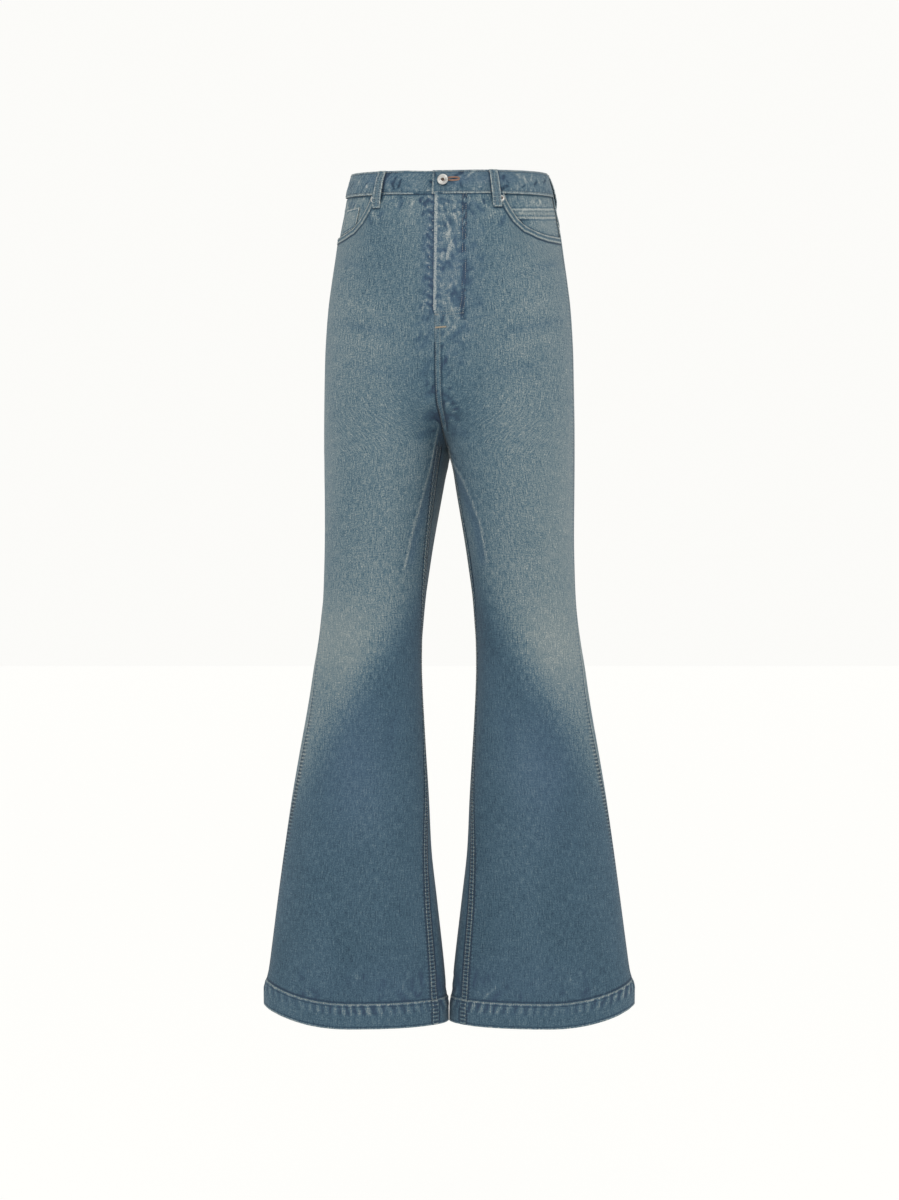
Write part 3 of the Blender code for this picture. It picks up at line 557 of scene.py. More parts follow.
def nearest_on(x, y, path):
    """Distance to a path of two or more places, and the share of it passed there."""
    path = np.array(path, dtype=float)
    runs = np.diff(path, axis=0)
    lengths = np.hypot(runs[:, 0], runs[:, 1])
    total, gone = lengths.sum(), 0.0
    nearest = np.full(np.broadcast(x, y).shape, 1e9)
    along = np.zeros_like(nearest)
    for (x0, y0), (dx, dy), length in zip(path[:-1], runs, lengths):
        t = ((x - x0) * dx + (y - y0) * dy) / length ** 2
        held = np.clip(t, 0, 1)
        away = np.hypot(x - x0 - held * dx, y - y0 - held * dy)
        closer = away < nearest
        nearest = np.where(closer, away, nearest)
        along = np.where(closer, (gone + t * length) / total, along)
        gone += length
    return nearest, along


def part_way(start, end, share):
    return start + (end - start) * share


def bell(off, width):
    """1 at 0, fading over the width on both sides."""
    return np.exp(-(off / width) ** 2)


def stroke(x, y, path, width, taper=0.3):
    """1 on a path, fading over its width and over a share of its length at both ends."""
    nearest, along = nearest_on(x, y, path)
    ends = ease((along + 0.02) / taper) * ease((1.02 - along) / taper)
    return ends * bell(nearest, width)


def blob(x, y, centre, reach):
    """1 at a centre, fading over its reach across and down."""
    return np.exp(-((x - centre[0]) / reach[0]) ** 2 - ((y - centre[1]) / reach[1]) ** 2)


def centre_angle(level, back=False, past=-0.2):
    """The ring's angle at the centre seam above the fork, or past it on the other side, millimetres."""
    mid, inner = section("mid", level), section("inner", level)
    narrow = narrowed(section("rise_b" if back else "rise_f", level))
    across = np.clip((mid + past) * narrow / (mid - inner), 0, 1)
    angle = np.degrees(np.arccos(across ** (SQUARENESS / 2)))
    return 360 - angle if back else angle


@functools.lru_cache(maxsize=4000)
def ring_lengths(level):
    """Angles from the centre front to the centre back at a level, and the distance to each."""
    angles = np.linspace(centre_angle(level), centre_angle(level, back=True), 300)
    points = base_point(1, angles, np.full_like(angles, level))
    steps = np.linalg.norm(np.diff(points, axis=0), axis=-1)
    return angles, np.concatenate([[0.0], np.cumsum(steps)])


def angle_at(distance, level):
    """Ring angle at a distance from the centre front."""
    angles, lengths = ring_lengths(round(float(level), 1))
    return np.interp(distance, lengths, angles)


def distance_at(angle, level):
    angles, lengths = ring_lengths(round(float(level), 1))
    return np.interp(angle, angles, lengths)


def half_girth(level):
    return ring_lengths(round(float(level), 1))[1][-1]


SIDE_LOOP = float(distance_at(SIDE_LOOP_ANGLE, -20.0))


def waist_line(side, angle, below_top):
    """Level of a line that runs round the waist this far under its top edge."""
    backwards = base_point(side, np.asarray(angle, dtype=float), np.zeros(np.shape(angle)))[..., 1]
    return SIDE_TOP - below_top + WAIST_TILT * backwards / section("front", 0.0)


def hem_level(angle):
    across = np.cos(np.radians(angle))
    return (FRONT_HEM_LEVEL + HEM_RISE_OUTER * np.clip(-across, 0, 1) ** 2
            + HEM_RISE_INNER * np.clip(across, 0, 1) ** 2)


# ------------------------------------------------------------------ creases, puckers and wear
# Creases of the front, seen in the picture: from, to, width in pixels, depth in millimetres,
# - is a trough, and how far the ridge beside it is worn.
CREASE_COLUMNS = ("x_a", "y_a", "x_b", "y_b", "width", "depth", "worn")
CREASES = (
    (473, 328, 444, 357, 3.0,  1.0, 0.35), (470, 321, 446, 343, 2.2, -0.9, 0.0),
    (458, 322, 444, 338, 1.8,  0.8, 0.45), (452, 345, 440, 372, 2.4, -0.8, 0.0),
    (430, 338, 416, 352, 3.0, -0.8, 0.0), (432, 356, 420, 380, 3.2, -0.9, 0.0),
    (476, 197, 492, 211, 1.3,  0.7, 0.60), (470, 199, 486, 214, 2.2, -0.6, 0.0),
    (441, 198, 453, 203, 1.4, -0.7, 0.0), (447, 209, 453, 217, 1.2,  0.5, 0.50),
    (404, 197, 396, 209, 2.6, -0.7, 0.0), (414, 197, 409, 214, 2.6,  0.6, 0.15),
    (371, 211, 380, 222, 1.5,  0.6, 0.45), (368, 214, 372, 226, 1.4, -0.6, 0.0),
    (384, 209, 378, 219, 1.8, -0.5, 0.0), (520, 214, 527, 207, 1.2,  0.5, 0.50),
    (506, 214, 499, 228, 2.0, -0.5, 0.0), (498, 208, 486, 222, 2.4,  0.5, 0.2),
    (338, 262, 372, 268, 4.0, -0.6, 0.0), (562, 262, 532, 268, 4.0, -0.6, 0.0),
    (334, 300, 392, 314, 4.5,  0.7, 0.12), (566, 298, 508, 312, 4.5,  0.7, 0.12),
    (332, 322, 404, 334, 4.0, -0.7, 0.0), (568, 318, 498, 334, 4.0, -0.7, 0.0),
    (334, 338, 412, 352, 4.5,  0.7, 0.10), (566, 336, 488, 352, 4.5,  0.7, 0.10),
    (346, 366, 420, 378, 5.0, -0.6, 0.0), (556, 362, 480, 376, 5.0, -0.6, 0.0),
    (437, 385, 424, 398, 2.5, -0.9, 0.0), (436, 398, 420, 412, 2.8,  0.7, 0.15),
    (437, 410, 422, 420, 2.6, -0.9, 0.0), (442, 392, 452, 402, 2.2, -0.9, 0.0),
    (444, 402, 459, 413, 2.4,  0.7, 0.20), (446, 413, 462, 421, 2.4, -0.8, 0.0),
    (448, 425, 470, 436, 3.0, -0.7, 0.0), (434, 428, 414, 440, 3.2, -0.7, 0.0),
    (452, 440, 476, 446, 3.0,  0.6, 0.08), (428, 444, 408, 452, 3.4,  0.6, 0.08),
    (300, 990, 306, 997, 1.6, -0.7, 0.0), (304, 987, 314, 998, 1.2,  0.6, 0.50),
    (310, 986, 320, 999, 1.5, -0.7, 0.0), (400, 986, 417, 1002, 1.2,  0.7, 0.55),
    (396, 990, 409, 1003, 1.8, -0.8, 0.0), (409, 984, 419, 999, 1.4, -0.7, 0.0),
    (420, 968, 424, 990, 1.6, -0.8, 0.0), (437, 972, 441, 994, 1.6, -0.8, 0.0),
    (440, 985, 443, 998, 1.3,  0.7, 0.50), (456, 972, 460, 994, 1.6, -0.8, 0.0),
    (458, 985, 455, 998, 1.3,  0.7, 0.50), (477, 968, 473, 990, 1.6, -0.8, 0.0),
    (498, 985, 481, 1001, 1.2,  0.7, 0.55), (502, 990, 490, 1003, 1.8, -0.8, 0.0),
    (596, 986, 586, 998, 1.2,  0.6, 0.50), (590, 986, 580, 999, 1.5, -0.7, 0.0),
    (360, 792, 352, 845, 5.0,  0.5, 0.0), (538, 792, 548, 845, 5.0,  0.5, 0.0),
    (398, 700, 386, 760, 5.0, -0.6, 0.0), (502, 700, 514, 760, 5.0, -0.6, 0.0),
)

# The same for the sides and the back, by ring angle and level: the widths are millimetres.
BACK_CREASE_COLUMNS = ("side", "angle_a", "level_a", "angle_b", "level_b", "width", "depth", "worn")
BACK_CREASES = (
    (-1, 280, -118, 262, -150, 4.0, -0.7, 0.0), (+1, 281, -122, 264, -158, 4.0, -0.7, 0.0),
    (-1, 206, -300, 262, -322, 9.0, -1.0, 0.0), (+1, 208, -296, 264, -320, 9.0, -1.0, 0.0),
    (-1, 222, -330, 276, -352, 8.0,  1.0, 0.2), (+1, 220, -332, 274, -350, 8.0,  1.0, 0.2),
    (-1, 300, -372, 344, -400, 7.0, -1.2, 0.0), (+1, 298, -376, 342, -396, 7.0, -1.2, 0.0),
    (-1, 306, -398, 350, -424, 6.0,  1.1, 0.3), (+1, 304, -402, 350, -428, 6.0,  1.1, 0.3),
    (-1, 228, -596, 300, -606, 7.0,  1.3, 0.3), (+1, 232, -590, 298, -602, 7.0,  1.3, 0.3),
    (-1, 240, -648, 318, -652, 6.0,  1.3, 0.4), (+1, 236, -640, 316, -656, 6.0,  1.3, 0.4),
    (-1, 226, -692, 304, -684, 6.0,  1.2, 0.4), (+1, 230, -684, 300, -690, 6.0,  1.2, 0.4),
    (-1, 252, -740, 316, -728, 7.0,  1.0, 0.2), (+1, 246, -734, 312, -722, 7.0,  1.0, 0.2),
)

# The pressed line down each thigh, from the fork, seen in the picture.
THIGH_LINES = {
    -1: ((439, 424), (433, 452), (430, 468), (424, 490), (417, 516), (411, 538), (405.6, 564), (401.8, 572)),
    +1: ((449, 452), (453, 463), (462, 479), (472, 501), (481, 525), (486, 553), (488.4, 568)),
}

# The middle of the pale area at each knee, seen in the picture.
KNEE_FADES = {-1: (338, 644), +1: (562, 644)}

# Broad lighter and darker areas of the front, seen in the picture: centre, reach, more tone. Those
# that darken the fork and the inner thighs are painted shade between the legs.
FRONT_TONES_AND_SHADE = (
    ((385, 252), (32, 76), -0.10), ((489, 250), (32, 72), -0.09), ((448, 225), (24, 60), -0.03),
    ((418, 374), (30, 70), -0.13), ((470, 372), (26, 80), -0.10), ((446, 420), (26, 34), -0.14),
    ((434, 552), (26, 120), -0.10), ((468, 512), (30, 92), -0.13), ((562, 520), (36, 110), 0.09),
    ((356, 214), (16, 20), 0.03), ((545, 205), (24, 30), 0.05), ((480, 620), (22, 60), -0.06),
)

# The two ends of the fade's lower edge: pixels from the picture's middle, and down.
FADE_EDGE_INNER = (39.5, 612)
FADE_EDGE_OUTER = (124.5, 752)
ROPE_PITCH = 13.4           # millimetres between the hem's puckers
SCALLOP_PITCH = 9.6         # pixels between the puckers beside the fly
FAR = 60.0                  # millimetres, where no edge or gap is near
FLY_TOP_SEEN, FLY_BOTTOM_SEEN = 197, 317
J_STITCH = 42.0             # millimetres from the fly's edge to its curved double row
J_ROWS = (J_STITCH - 2.2, J_STITCH + 2.4)
CENTRE_SEEN = 441           # pixels across, where the centre seam meets the fork


def from_centre(side, angle, level):
    """Distance from the plane of the centre seams, in millimetres."""
    point = base_point(side, angle, level)
    turn = np.radians(section("turn", level))
    return side * (point[..., 0] * np.cos(turn) - point[..., 1] * np.sin(turn))


def faded_and_shaded_tone(side, x, y, front, angle, level):
    """The denim's tone and how blue it is, before creases: a share of front is 1 on the front."""
    middle = np.abs(x - PICTURE_MIDDLE[0])
    (a0, y0), (a1, y1) = FADE_EDGE_INNER, FADE_EDGE_OUTER
    edge = y0 + (middle - a0) * (y1 - y0) / (a1 - a0) - 18 * (1 - front)
    above = ease((edge + 34 - y) / 84)
    tone = 0.285 + 0.285 * above
    tone = tone + front * 0.17 * blob(x, y, KNEE_FADES[side], (50, 50)) * above
    # the darker areas by the fork and down the inner thighs are painted shade between the legs
    for centre, reach, more in FRONT_TONES_AND_SHADE:
        tone = tone + front * more * blob(x, y, centre, reach)
    tone = tone + (1 - front) * 0.13 * blob(angle, level, (246, -215), (34, 95))
    tone = tone - (1 - front) * 0.06 * blob(angle, level, (268, -660), (44, 80))
    blue = 0.12 * (1 - above) + 0.30 * front * blob(x, y, (452, 262), (26, 66))
    blue = blue + 0.35 * blob(middle, y, (92, 770), (34, 70)) + 0.16 * blob(middle, y, (60, 985), (70, 26))
    tone = tone + 0.06 * front * blob(middle, y, (78, 800), (26, 80))
    return tone, blue


def scattered(seed, count, x, y, xs, ys, lean, reach, width, add, shade_and_indigo=0.40, wear=0.8):
    """Small creases that start at chance within xs and ys, and run down by reach and across by lean."""
    chance = np.random.default_rng(seed)
    for _ in range(count):
        start = chance.uniform(*xs), chance.uniform(*ys)
        end = start[0] + chance.uniform(*lean), start[1] + chance.uniform(*reach)
        depth = chance.uniform(0.4, 1.0) * chance.choice((-1, 1))
        close = (np.abs(x - start[0]) < reach[1] + 20) & (np.abs(y - start[1]) < reach[1] + 20)
        if np.any(close):
            mask = np.zeros(close.shape)
            mask[close] = stroke(x[close], y[close], (start, end), chance.uniform(*width))
            # troughs darkened and bluer: painted shade, partly unfaded indigo; ridges worn
            add(mask, depth, wear * max(depth, 0), shade_and_indigo * max(-depth, 0), 0.3 * max(-depth, 0))


class Wear:
    """The lift of one side's cloth at ring places, in millimetres, and the fields that the denim reads."""

    def __init__(self, side, angle, level):
        angle, level = np.broadcast_arrays(np.asarray(angle, dtype=float), np.asarray(level, dtype=float))
        self.side, self.angle, self.level = side, angle, level
        self.forward = np.sin(np.radians(angle))
        self.facing = ease((self.forward - 0.02) / 0.12)
        self.x, self.y = seen_from_front(base_point(side, angle, level))
        self.near = from_centre(side, angle, level)
        front = ease((self.forward + 0.25) / 0.5)
        self.tone, self.blue = faded_and_shaded_tone(side, self.x, self.y, front, angle, level)
        self.lift, self.worn, self.bead = folds(side, angle, level), 0 * self.tone, 0 * self.tone
        self.rim, self.gap = FAR + 0 * self.tone, FAR + 0 * self.tone

    def pale_line(self, away, where=1.0, weaker=0.0):
        """A worn edge where the distance away is 0, with painted shade in the groove beside it."""
        self.rim = np.where(where > 0.5, np.minimum(self.rim, away + weaker), self.rim)

    def painted_shade_line(self, away, where=1.0, weaker=0.0):
        """Painted shade along a seam, a groove, an opening or the foot of a step, where the distance away is
        0.
        """
        self.gap = np.where(where > 0.5, np.minimum(self.gap, away + weaker), self.gap)

    # the last two amounts darken and blue the cloth: painted shade in troughs, hollows and grooves, partly
    # unfaded indigo
    def add(self, mask, depth, wear=0.0, shade_and_indigo=0.0, more_blue=0.0):
        self.lift = self.lift + mask * depth
        self.worn = self.worn + mask * wear
        self.tone = self.tone - mask * shade_and_indigo
        self.blue = self.blue + mask * more_blue

    def add_front(self, mask, *amounts):
        self.add(mask * self.facing, *amounts)

    def seen_stroke(self, path, width, taper=0.3):
        return stroke(self.x, self.y, path, width, taper)

    def fields(self):
        return {"tone": self.tone, "blue": np.clip(self.blue, 0, 1), "worn": np.clip(self.worn, 0, 1.3),
                "bead": np.clip(self.bead, 0, 1.4), "rim": self.rim, "gap": self.gap}


def tabled_creases(w):
    """The creases that are placed one by one, seen in the picture and round the back."""
    for c in rows_of(CREASE_COLUMNS, CREASES):
        if (c["x_a"] + c["x_b"] > 2 * CENTRE_SEEN) == (w.side > 0):
            mask = w.facing * w.seen_stroke(((c["x_a"], c["y_a"]), (c["x_b"], c["y_b"])), c["width"])
            sharp = np.clip(2.2 / c["width"], 0, 1) ** 2
            # troughs darker and bluer, ridges a little lighter: painted shade and light, partly the troughs'
            # unfaded indigo
            trough = c["depth"] < 0
            shade_and_indigo, more_blue = (0.26, 0.35) if trough else (-0.04, 0.0)
            w.add(mask, c["depth"] * 1.4, c["worn"], shade_and_indigo * sharp, more_blue * sharp)
    for c in rows_of(BACK_CREASE_COLUMNS, BACK_CREASES):
        if c["side"] == w.side:
            mask = on_ring(c, w.angle, w.level)
            # back creases: troughs darker and ridges lighter, painted shade and light
            w.add(mask, c["depth"], c["worn"] * 0.5, 0.08 if c["depth"] < 0 else -0.03)


def thigh_dart(w, pucker):
    """The pressed line down the thigh, sunk and painted in shade beside it, with puckers on both its sides
    whose hollows are painted in shade.
    """
    line = THIGH_LINES[w.side]
    beside = w.side * 4.5
    w.add_front(w.seen_stroke(line, 0.9, 0.08), 0.9, 1.10)
    sunk = stroke(w.x - beside, w.y, [(x - beside * 2, y) for x, y in line], 4.5, 0.12)
    # painted shade in the sunk strip beside the line
    w.add_front(sunk, -1.0, 0.0, 0.13, 0.3)
    xs, ys = np.array(line, dtype=float).T
    for beyond, count in ((0, 13), (1, 12)):
        for k in range(count):
            share = (k + pucker.uniform(0.2, 0.8)) / count
            place = np.interp(share, np.linspace(0, 1, len(ys)), ys)
            across = np.interp(place, ys, xs) + w.side * (1.8 + beyond * 2)
            # painted shade in each pucker's hollow
            w.add_front(blob(w.x, w.y, (across, place), (1.1, 1.5)), -0.5, 0.0, 0.26)


# Chance creases beside the fly and on the fork, seen in the picture: first seed, count, ranges of the
# starts, across and down, ranges of the lean, the length and the width, how much their troughs are
# darkened, painted shade with some unfaded indigo, and how worn their ridges are.
SCATTER_COLUMNS = ("seed", "count", "xs", "ys", "lean", "reach", "width", "shade_and_indigo", "wear")
LEFT_SCATTER = (
    (31, 95, (440, 464), (196, 316), (-8, 8), (4, 15), (1.0, 1.8), 0.42, 0.75),
    (32, 34, (468, 484), (196, 316), (-5, 8), (4, 12), (1.0, 1.7), 0.26, 0.35),
    (33, 26, (439, 474), (322, 372), (-10, 2), (4, 14), (1.1, 2.0), 0.34, 0.5),
    (37, 20, (428, 462), (384, 408), (-9, 9), (2, 9), (1.0, 1.9), 0.40, 0.55),
    (38, 20, (428, 462), (408, 432), (-9, 9), (2, 9), (1.0, 1.9), 0.40, 0.55),
)
RIGHT_SCATTER = (
    (34, 34, (423, 435), (196, 318), (-8, 3), (3, 10), (1.0, 1.7), 0.40, 0.75),
    (35, 16, (414, 434), (322, 380), (-9, 2), (4, 12), (1.1, 2.0), 0.28, 0.35),
    (35, 20, (428, 462), (384, 408), (-9, 9), (2, 9), (1.0, 1.9), 0.40, 0.55),
    (36, 20, (428, 462), (408, 432), (-9, 9), (2, 9), (1.0, 1.9), 0.40, 0.55),
)


def chance_creases(w):
    """Small creases by the fly, on the fork and over both hems, and the darker, bluer strip beside the fly:
    painted shade under the fly's edge.
    """
    for c in rows_of(SCATTER_COLUMNS, LEFT_SCATTER if w.side > 0 else RIGHT_SCATTER):
        scattered(c["seed"], c["count"], w.x, w.y, c["xs"], c["ys"], c["lean"], c["reach"], c["width"],
                  w.add_front, c["shade_and_indigo"], c["wear"])
    # painted shade beside the fly's edge, made bluer as well
    w.add_front(blob(w.x, w.y, (430, 258), (8, 70)), 0.0, 0.0, 0.10, 0.30)
    scattered(40 + w.side, 60, w.x, w.y, (292, 606), (966, 996), (-9, 9), (3, 12), (1.1, 2.0),
              w.add, 0.26, 0.45)


def fly_puckers(w, pucker):
    """A pucker at each step down the fly, its hollow painted in shade: sunk most beside its edge, small at
    its rows. Returns their stretch.
    """
    over = ease((FLY_TOP_SEEN + 130 - w.y) / 12) * w.facing
    for k in range(12):
        down = FLY_TOP_SEEN + 5 + SCALLOP_PITCH * k + pucker.uniform(-1.6, 1.6)
        slope = pucker.uniform(4.0, 7.5)
        if w.side < 0:
            path = ((427.5 + pucker.uniform(-3, 1), down - slope), (431.5, down - 1), (435.5, down + 0.5))
            # the pucker's hollow is painted in shade, and the ridge above it worn pale
            w.add(over * w.seen_stroke(path, 2.0), -1.2, 0.0, 0.46, 0.40)
            w.add(over * w.seen_stroke([(x - 0.6, y - 2.8) for x, y in path], 1.1), 0.8, 0.95)
        else:
            for edge, reach in ((439.5, 3.0), (461.0, 3.2)):
                path = ((edge - reach, down - 1.5), (edge + reach, down + 2.0))
                # the small puckers' hollows are painted in shade
                w.add(over * w.seen_stroke(path, 1.4), -0.8, 0.0, 0.24, 0.25)
                w.add(over * w.seen_stroke([(x, y + 3.0) for x, y in path], 1.1), 0.6, 0.45)
            beyond = ((467.5, down + pucker.uniform(-3, 0)), (472.5, down + pucker.uniform(1, 5)))
            w.add(over * w.seen_stroke(beyond, 1.4), -0.6, 0.0, 0.16)
    return over


def fly(w, pucker):
    """The left front's folded edge and its double row, the hollow beside it, and the seam below, with
    painted shade in the hollow, along the double row and down the seam.
    """
    over = fly_puckers(w, pucker)
    step = w.facing * (w.level > SIDE_TOP - BAND_HEIGHT - FLY_LENGTH)
    if w.side > 0:
        w.add(step * ease((16 - w.near) / 14), 1.6)
        w.add(step * ease((3.4 - w.near) / 1.6), 0.5, 1.15)
        for row in J_ROWS:
            # the double row's grooves are painted in shade
            w.add(over * w.facing * bell(w.near - row, 1.5), -0.8, 0.0, 0.24, 0.2)
            w.painted_shade_line(np.abs(w.near - row), over * w.facing, 0.2)
        w.pale_line(np.abs(w.near - J_STITCH - 0.1), over * w.facing, 0.9)
    else:
        # painted shade in the hollow under the fly's edge
        w.add(step * ease((7 - w.near) / 5), -0.4, 0.0, 0.30, 0.35)
    below = w.facing * ease((FLY_BOTTOM_SEEN + 18 - w.y) / -10) * (w.level > FORK - 6)
    w.add(below * ease((9 - w.near) / 2.5), 0.3 if w.side > 0 else -0.3)
    # painted shade down the centre seam and beside its felled band
    w.painted_shade_line(np.abs(w.near + 0.2), below, 0.4)
    w.painted_shade_line(np.abs(w.near - 10.0), below * (w.side > 0), 0.8)


def under_band(w):
    """The seam under the waistband, its puckers, the loops' shadows and the pocket opening's edge, with
    painted shade under the band and beside the loops, and painted shadow inside the opening.
    """
    drop = waist_line(w.side, w.angle, BAND_HEIGHT + BAND_SEAM_GAP) - w.level
    across = distance_at(np.minimum(w.angle, 360), POCKET_LEVEL)
    w.add(bell(drop, 2.0), -0.6)
    # painted shade under the band's edge
    w.painted_shade_line(np.abs(drop), 1.0, 0.2)
    round_waist = (2, half_girth(POCKET_LEVEL))
    scattered(23 + w.side, 70, across, drop, round_waist, (1, 12), (-9, 9), (4, 14), (1.1, 2.0), w.add)
    foot = LOOP_LENGTH - BAND_HEIGHT + 1.0
    wider = half_girth(POCKET_LEVEL) / half_girth(0.0)
    for loop in (LOOP_FROM_CENTRE, SIDE_LOOP, half_girth(0.0)):
        beside = np.maximum(np.abs(across - loop * wider) - LOOP_WIDTH / 2, 0)
        # painted shadows beside and under the loops
        w.painted_shade_line(np.hypot(beside, np.maximum(drop - foot, 0)), 1.0, 0.3)
    past = across - POCKET_FROM_CENTRE
    edge, _ = nearest_on(past, drop, POCKET_OPENING + (OPENING_PAST_OUTSEAM,))
    open_side = ease((pocket_drop(past) - drop) / 1.0) * (past > 0)
    on_front = w.angle < 181
    mine = (1 - open_side) * on_front
    w.add(mine * ease((9.0 - edge) / 1.5), 0.6, 0.18)
    w.pale_line(edge, mine)
    w.pale_line(np.abs(edge - 7.4), mine, 0.5)
    # painted shade in the gutter past the stitched band, and painted shadow inside the opening
    w.painted_shade_line(np.abs(edge - 9.6), mine, 0.6)
    w.painted_shade_line(edge, open_side * on_front)
    w.add(open_side * bell(edge, 4.5) * on_front, 0.0, 0.0, 0.16)


def back_seams(w):
    """The centre back seam, felled to the left, and the yoke's, with painted shade along their grooves."""
    behind = (w.forward < -0.02) & (w.level > FORK)
    w.painted_shade_line(np.abs(w.near + 0.2), behind, 0.2)
    if w.side > 0:
        w.add(behind * ease((10 - w.near) / 2.0), 0.5)
        w.painted_shade_line(np.abs(w.near - 11.0), behind, 0.8)
        for row in (1.6, 8.8):
            w.pale_line(np.abs(w.near - row), behind, 0.4)
    over_seam = w.level - yoke_seam(w.angle)
    w.painted_shade_line(np.abs(over_seam + 0.8), behind, 0.3)
    for row in (1.0, 8.0):
        w.pale_line(np.abs(over_seam - row), behind, 0.3)


def leg_seams(w):
    """The felled inseam with its beaded band, and the outseam, puckered near the knee, with painted shade
    in the inseam's gutters and beside the outseam.
    """
    turned_back = w.angle - 360 if np.max(w.angle) > 300 else w.angle
    inseam = (turned_back - seam_angle("inseam", w.level)) * MM_A_DEGREE
    below = w.level < FORK - 20
    band = below * ease((inseam + 13.0) / 1.5) * ease(-inseam / 1.0)
    w.add(band, 0.6, 0.20, 0.02)
    for gutter in (-13.6, 0.8):
        w.add(below * bell(inseam - gutter, 1.8), -0.6)
        w.painted_shade_line(np.abs(inseam - gutter), below, 0.5)
    for raised in (-12.0, -1.2):
        w.pale_line(np.abs(inseam - raised), below, 0.3)
    w.bead = w.bead + band + below * 0.35 * bell(inseam - 3.5, 3.0)
    outseam = (w.angle - seam_angle("outseam", w.level)) * MM_A_DEGREE
    w.add(bell(outseam - 1.5, 4.0), 0.4, 0.20)
    w.pale_line(np.abs(outseam - 0.8), w.level < YOKE_SIDE, 0.4)
    w.painted_shade_line(np.abs(outseam + 2.6), w.level < YOKE_SIDE, 0.8)
    w.bead = w.bead + bell(outseam + 8, 8) * (0.3 + 1.3 * bell(w.level + 905, 95))


def hem(w, u):
    """The turned-up hem: its step, its edges and, by the millimetres u across the cloth, its roping, with
    painted shade under the step.
    """
    below = hem_level(w.angle) + HEM_DEPTH - w.level
    w.add(ease((below + 3) / 5), HEM_PROUD, 0.0, -0.045)
    w.add(bell(below - 0.5, 1.5), -0.6)
    w.pale_line(np.abs(below - 0.9), 1.0, 0.2)
    # painted shade at the foot of the hem's step
    w.painted_shade_line(np.abs(below + 2.0), 1.0, 0.6)
    w.pale_line(np.abs(HEM_DEPTH - below))
    if u is None:
        return
    turns = u / ROPE_PITCH + 0.22 * np.sin(u / 23.0) + 0.1 * np.sin(u / 9.1 + w.side)
    phase = 2 * np.pi * turns + below * 0.09
    strength = 0.75 + 0.35 * np.sin(u / 37.0 + 1.3 * w.side)
    rope = ease((below - 0.5) / 2.0) * ease((20 - below) / 8) * strength
    wave = np.sin(phase)
    w.add(rope * wave, 1.0)
    w.add(rope * ease(wave * 1.6), 0.0, 0.75)
    # the roping's hollows darker: unfaded indigo with painted shade
    w.add(rope * ease(-wave * 1.6), 0.0, 0.0, 0.30, 0.3)
    puckers_over = ease((-below + 1) / 2) * ease((below + 12) / 8) * strength
    w.add(puckers_over * np.sin(phase * 1.5 + 1), 0.35, 0.12, 0.08)
    w.add(ease((below - 14) / 8) * np.sin(phase * 0.62 + 0.8), 0.22, 0.03)


def dress(side, angle, level, u=None):
    """Lift in millimetres, and the fields that the denim reads, of the legs' cloth at ring places."""
    w = Wear(side, angle, level)
    pucker = np.random.default_rng(11)
    tabled_creases(w)
    thigh_dart(w, pucker)
    chance_creases(w)
    fly(w, pucker)
    under_band(w)
    back_seams(w)
    leg_seams(w)
    hem(w, u)
    uneven = 0.35 * np.sin(w.angle / 13.0 + w.level / 61.0)
    uneven = uneven + 0.30 * np.sin(w.angle / 7.3 - w.level / 97.0 + side)
    return w.lift + uneven, w.fields()


# ------------------------------------------------------------------ making cloth
def spaced(start, end, step, edge=0.3):
    """Values from start to end about a step apart, with one more just inside each end."""
    way = np.sign(end - start)
    inside = np.linspace(start + way * edge, end - way * edge, max(2, int(abs(end - start) / step) + 1))
    return np.concatenate([[start], inside, [end]])


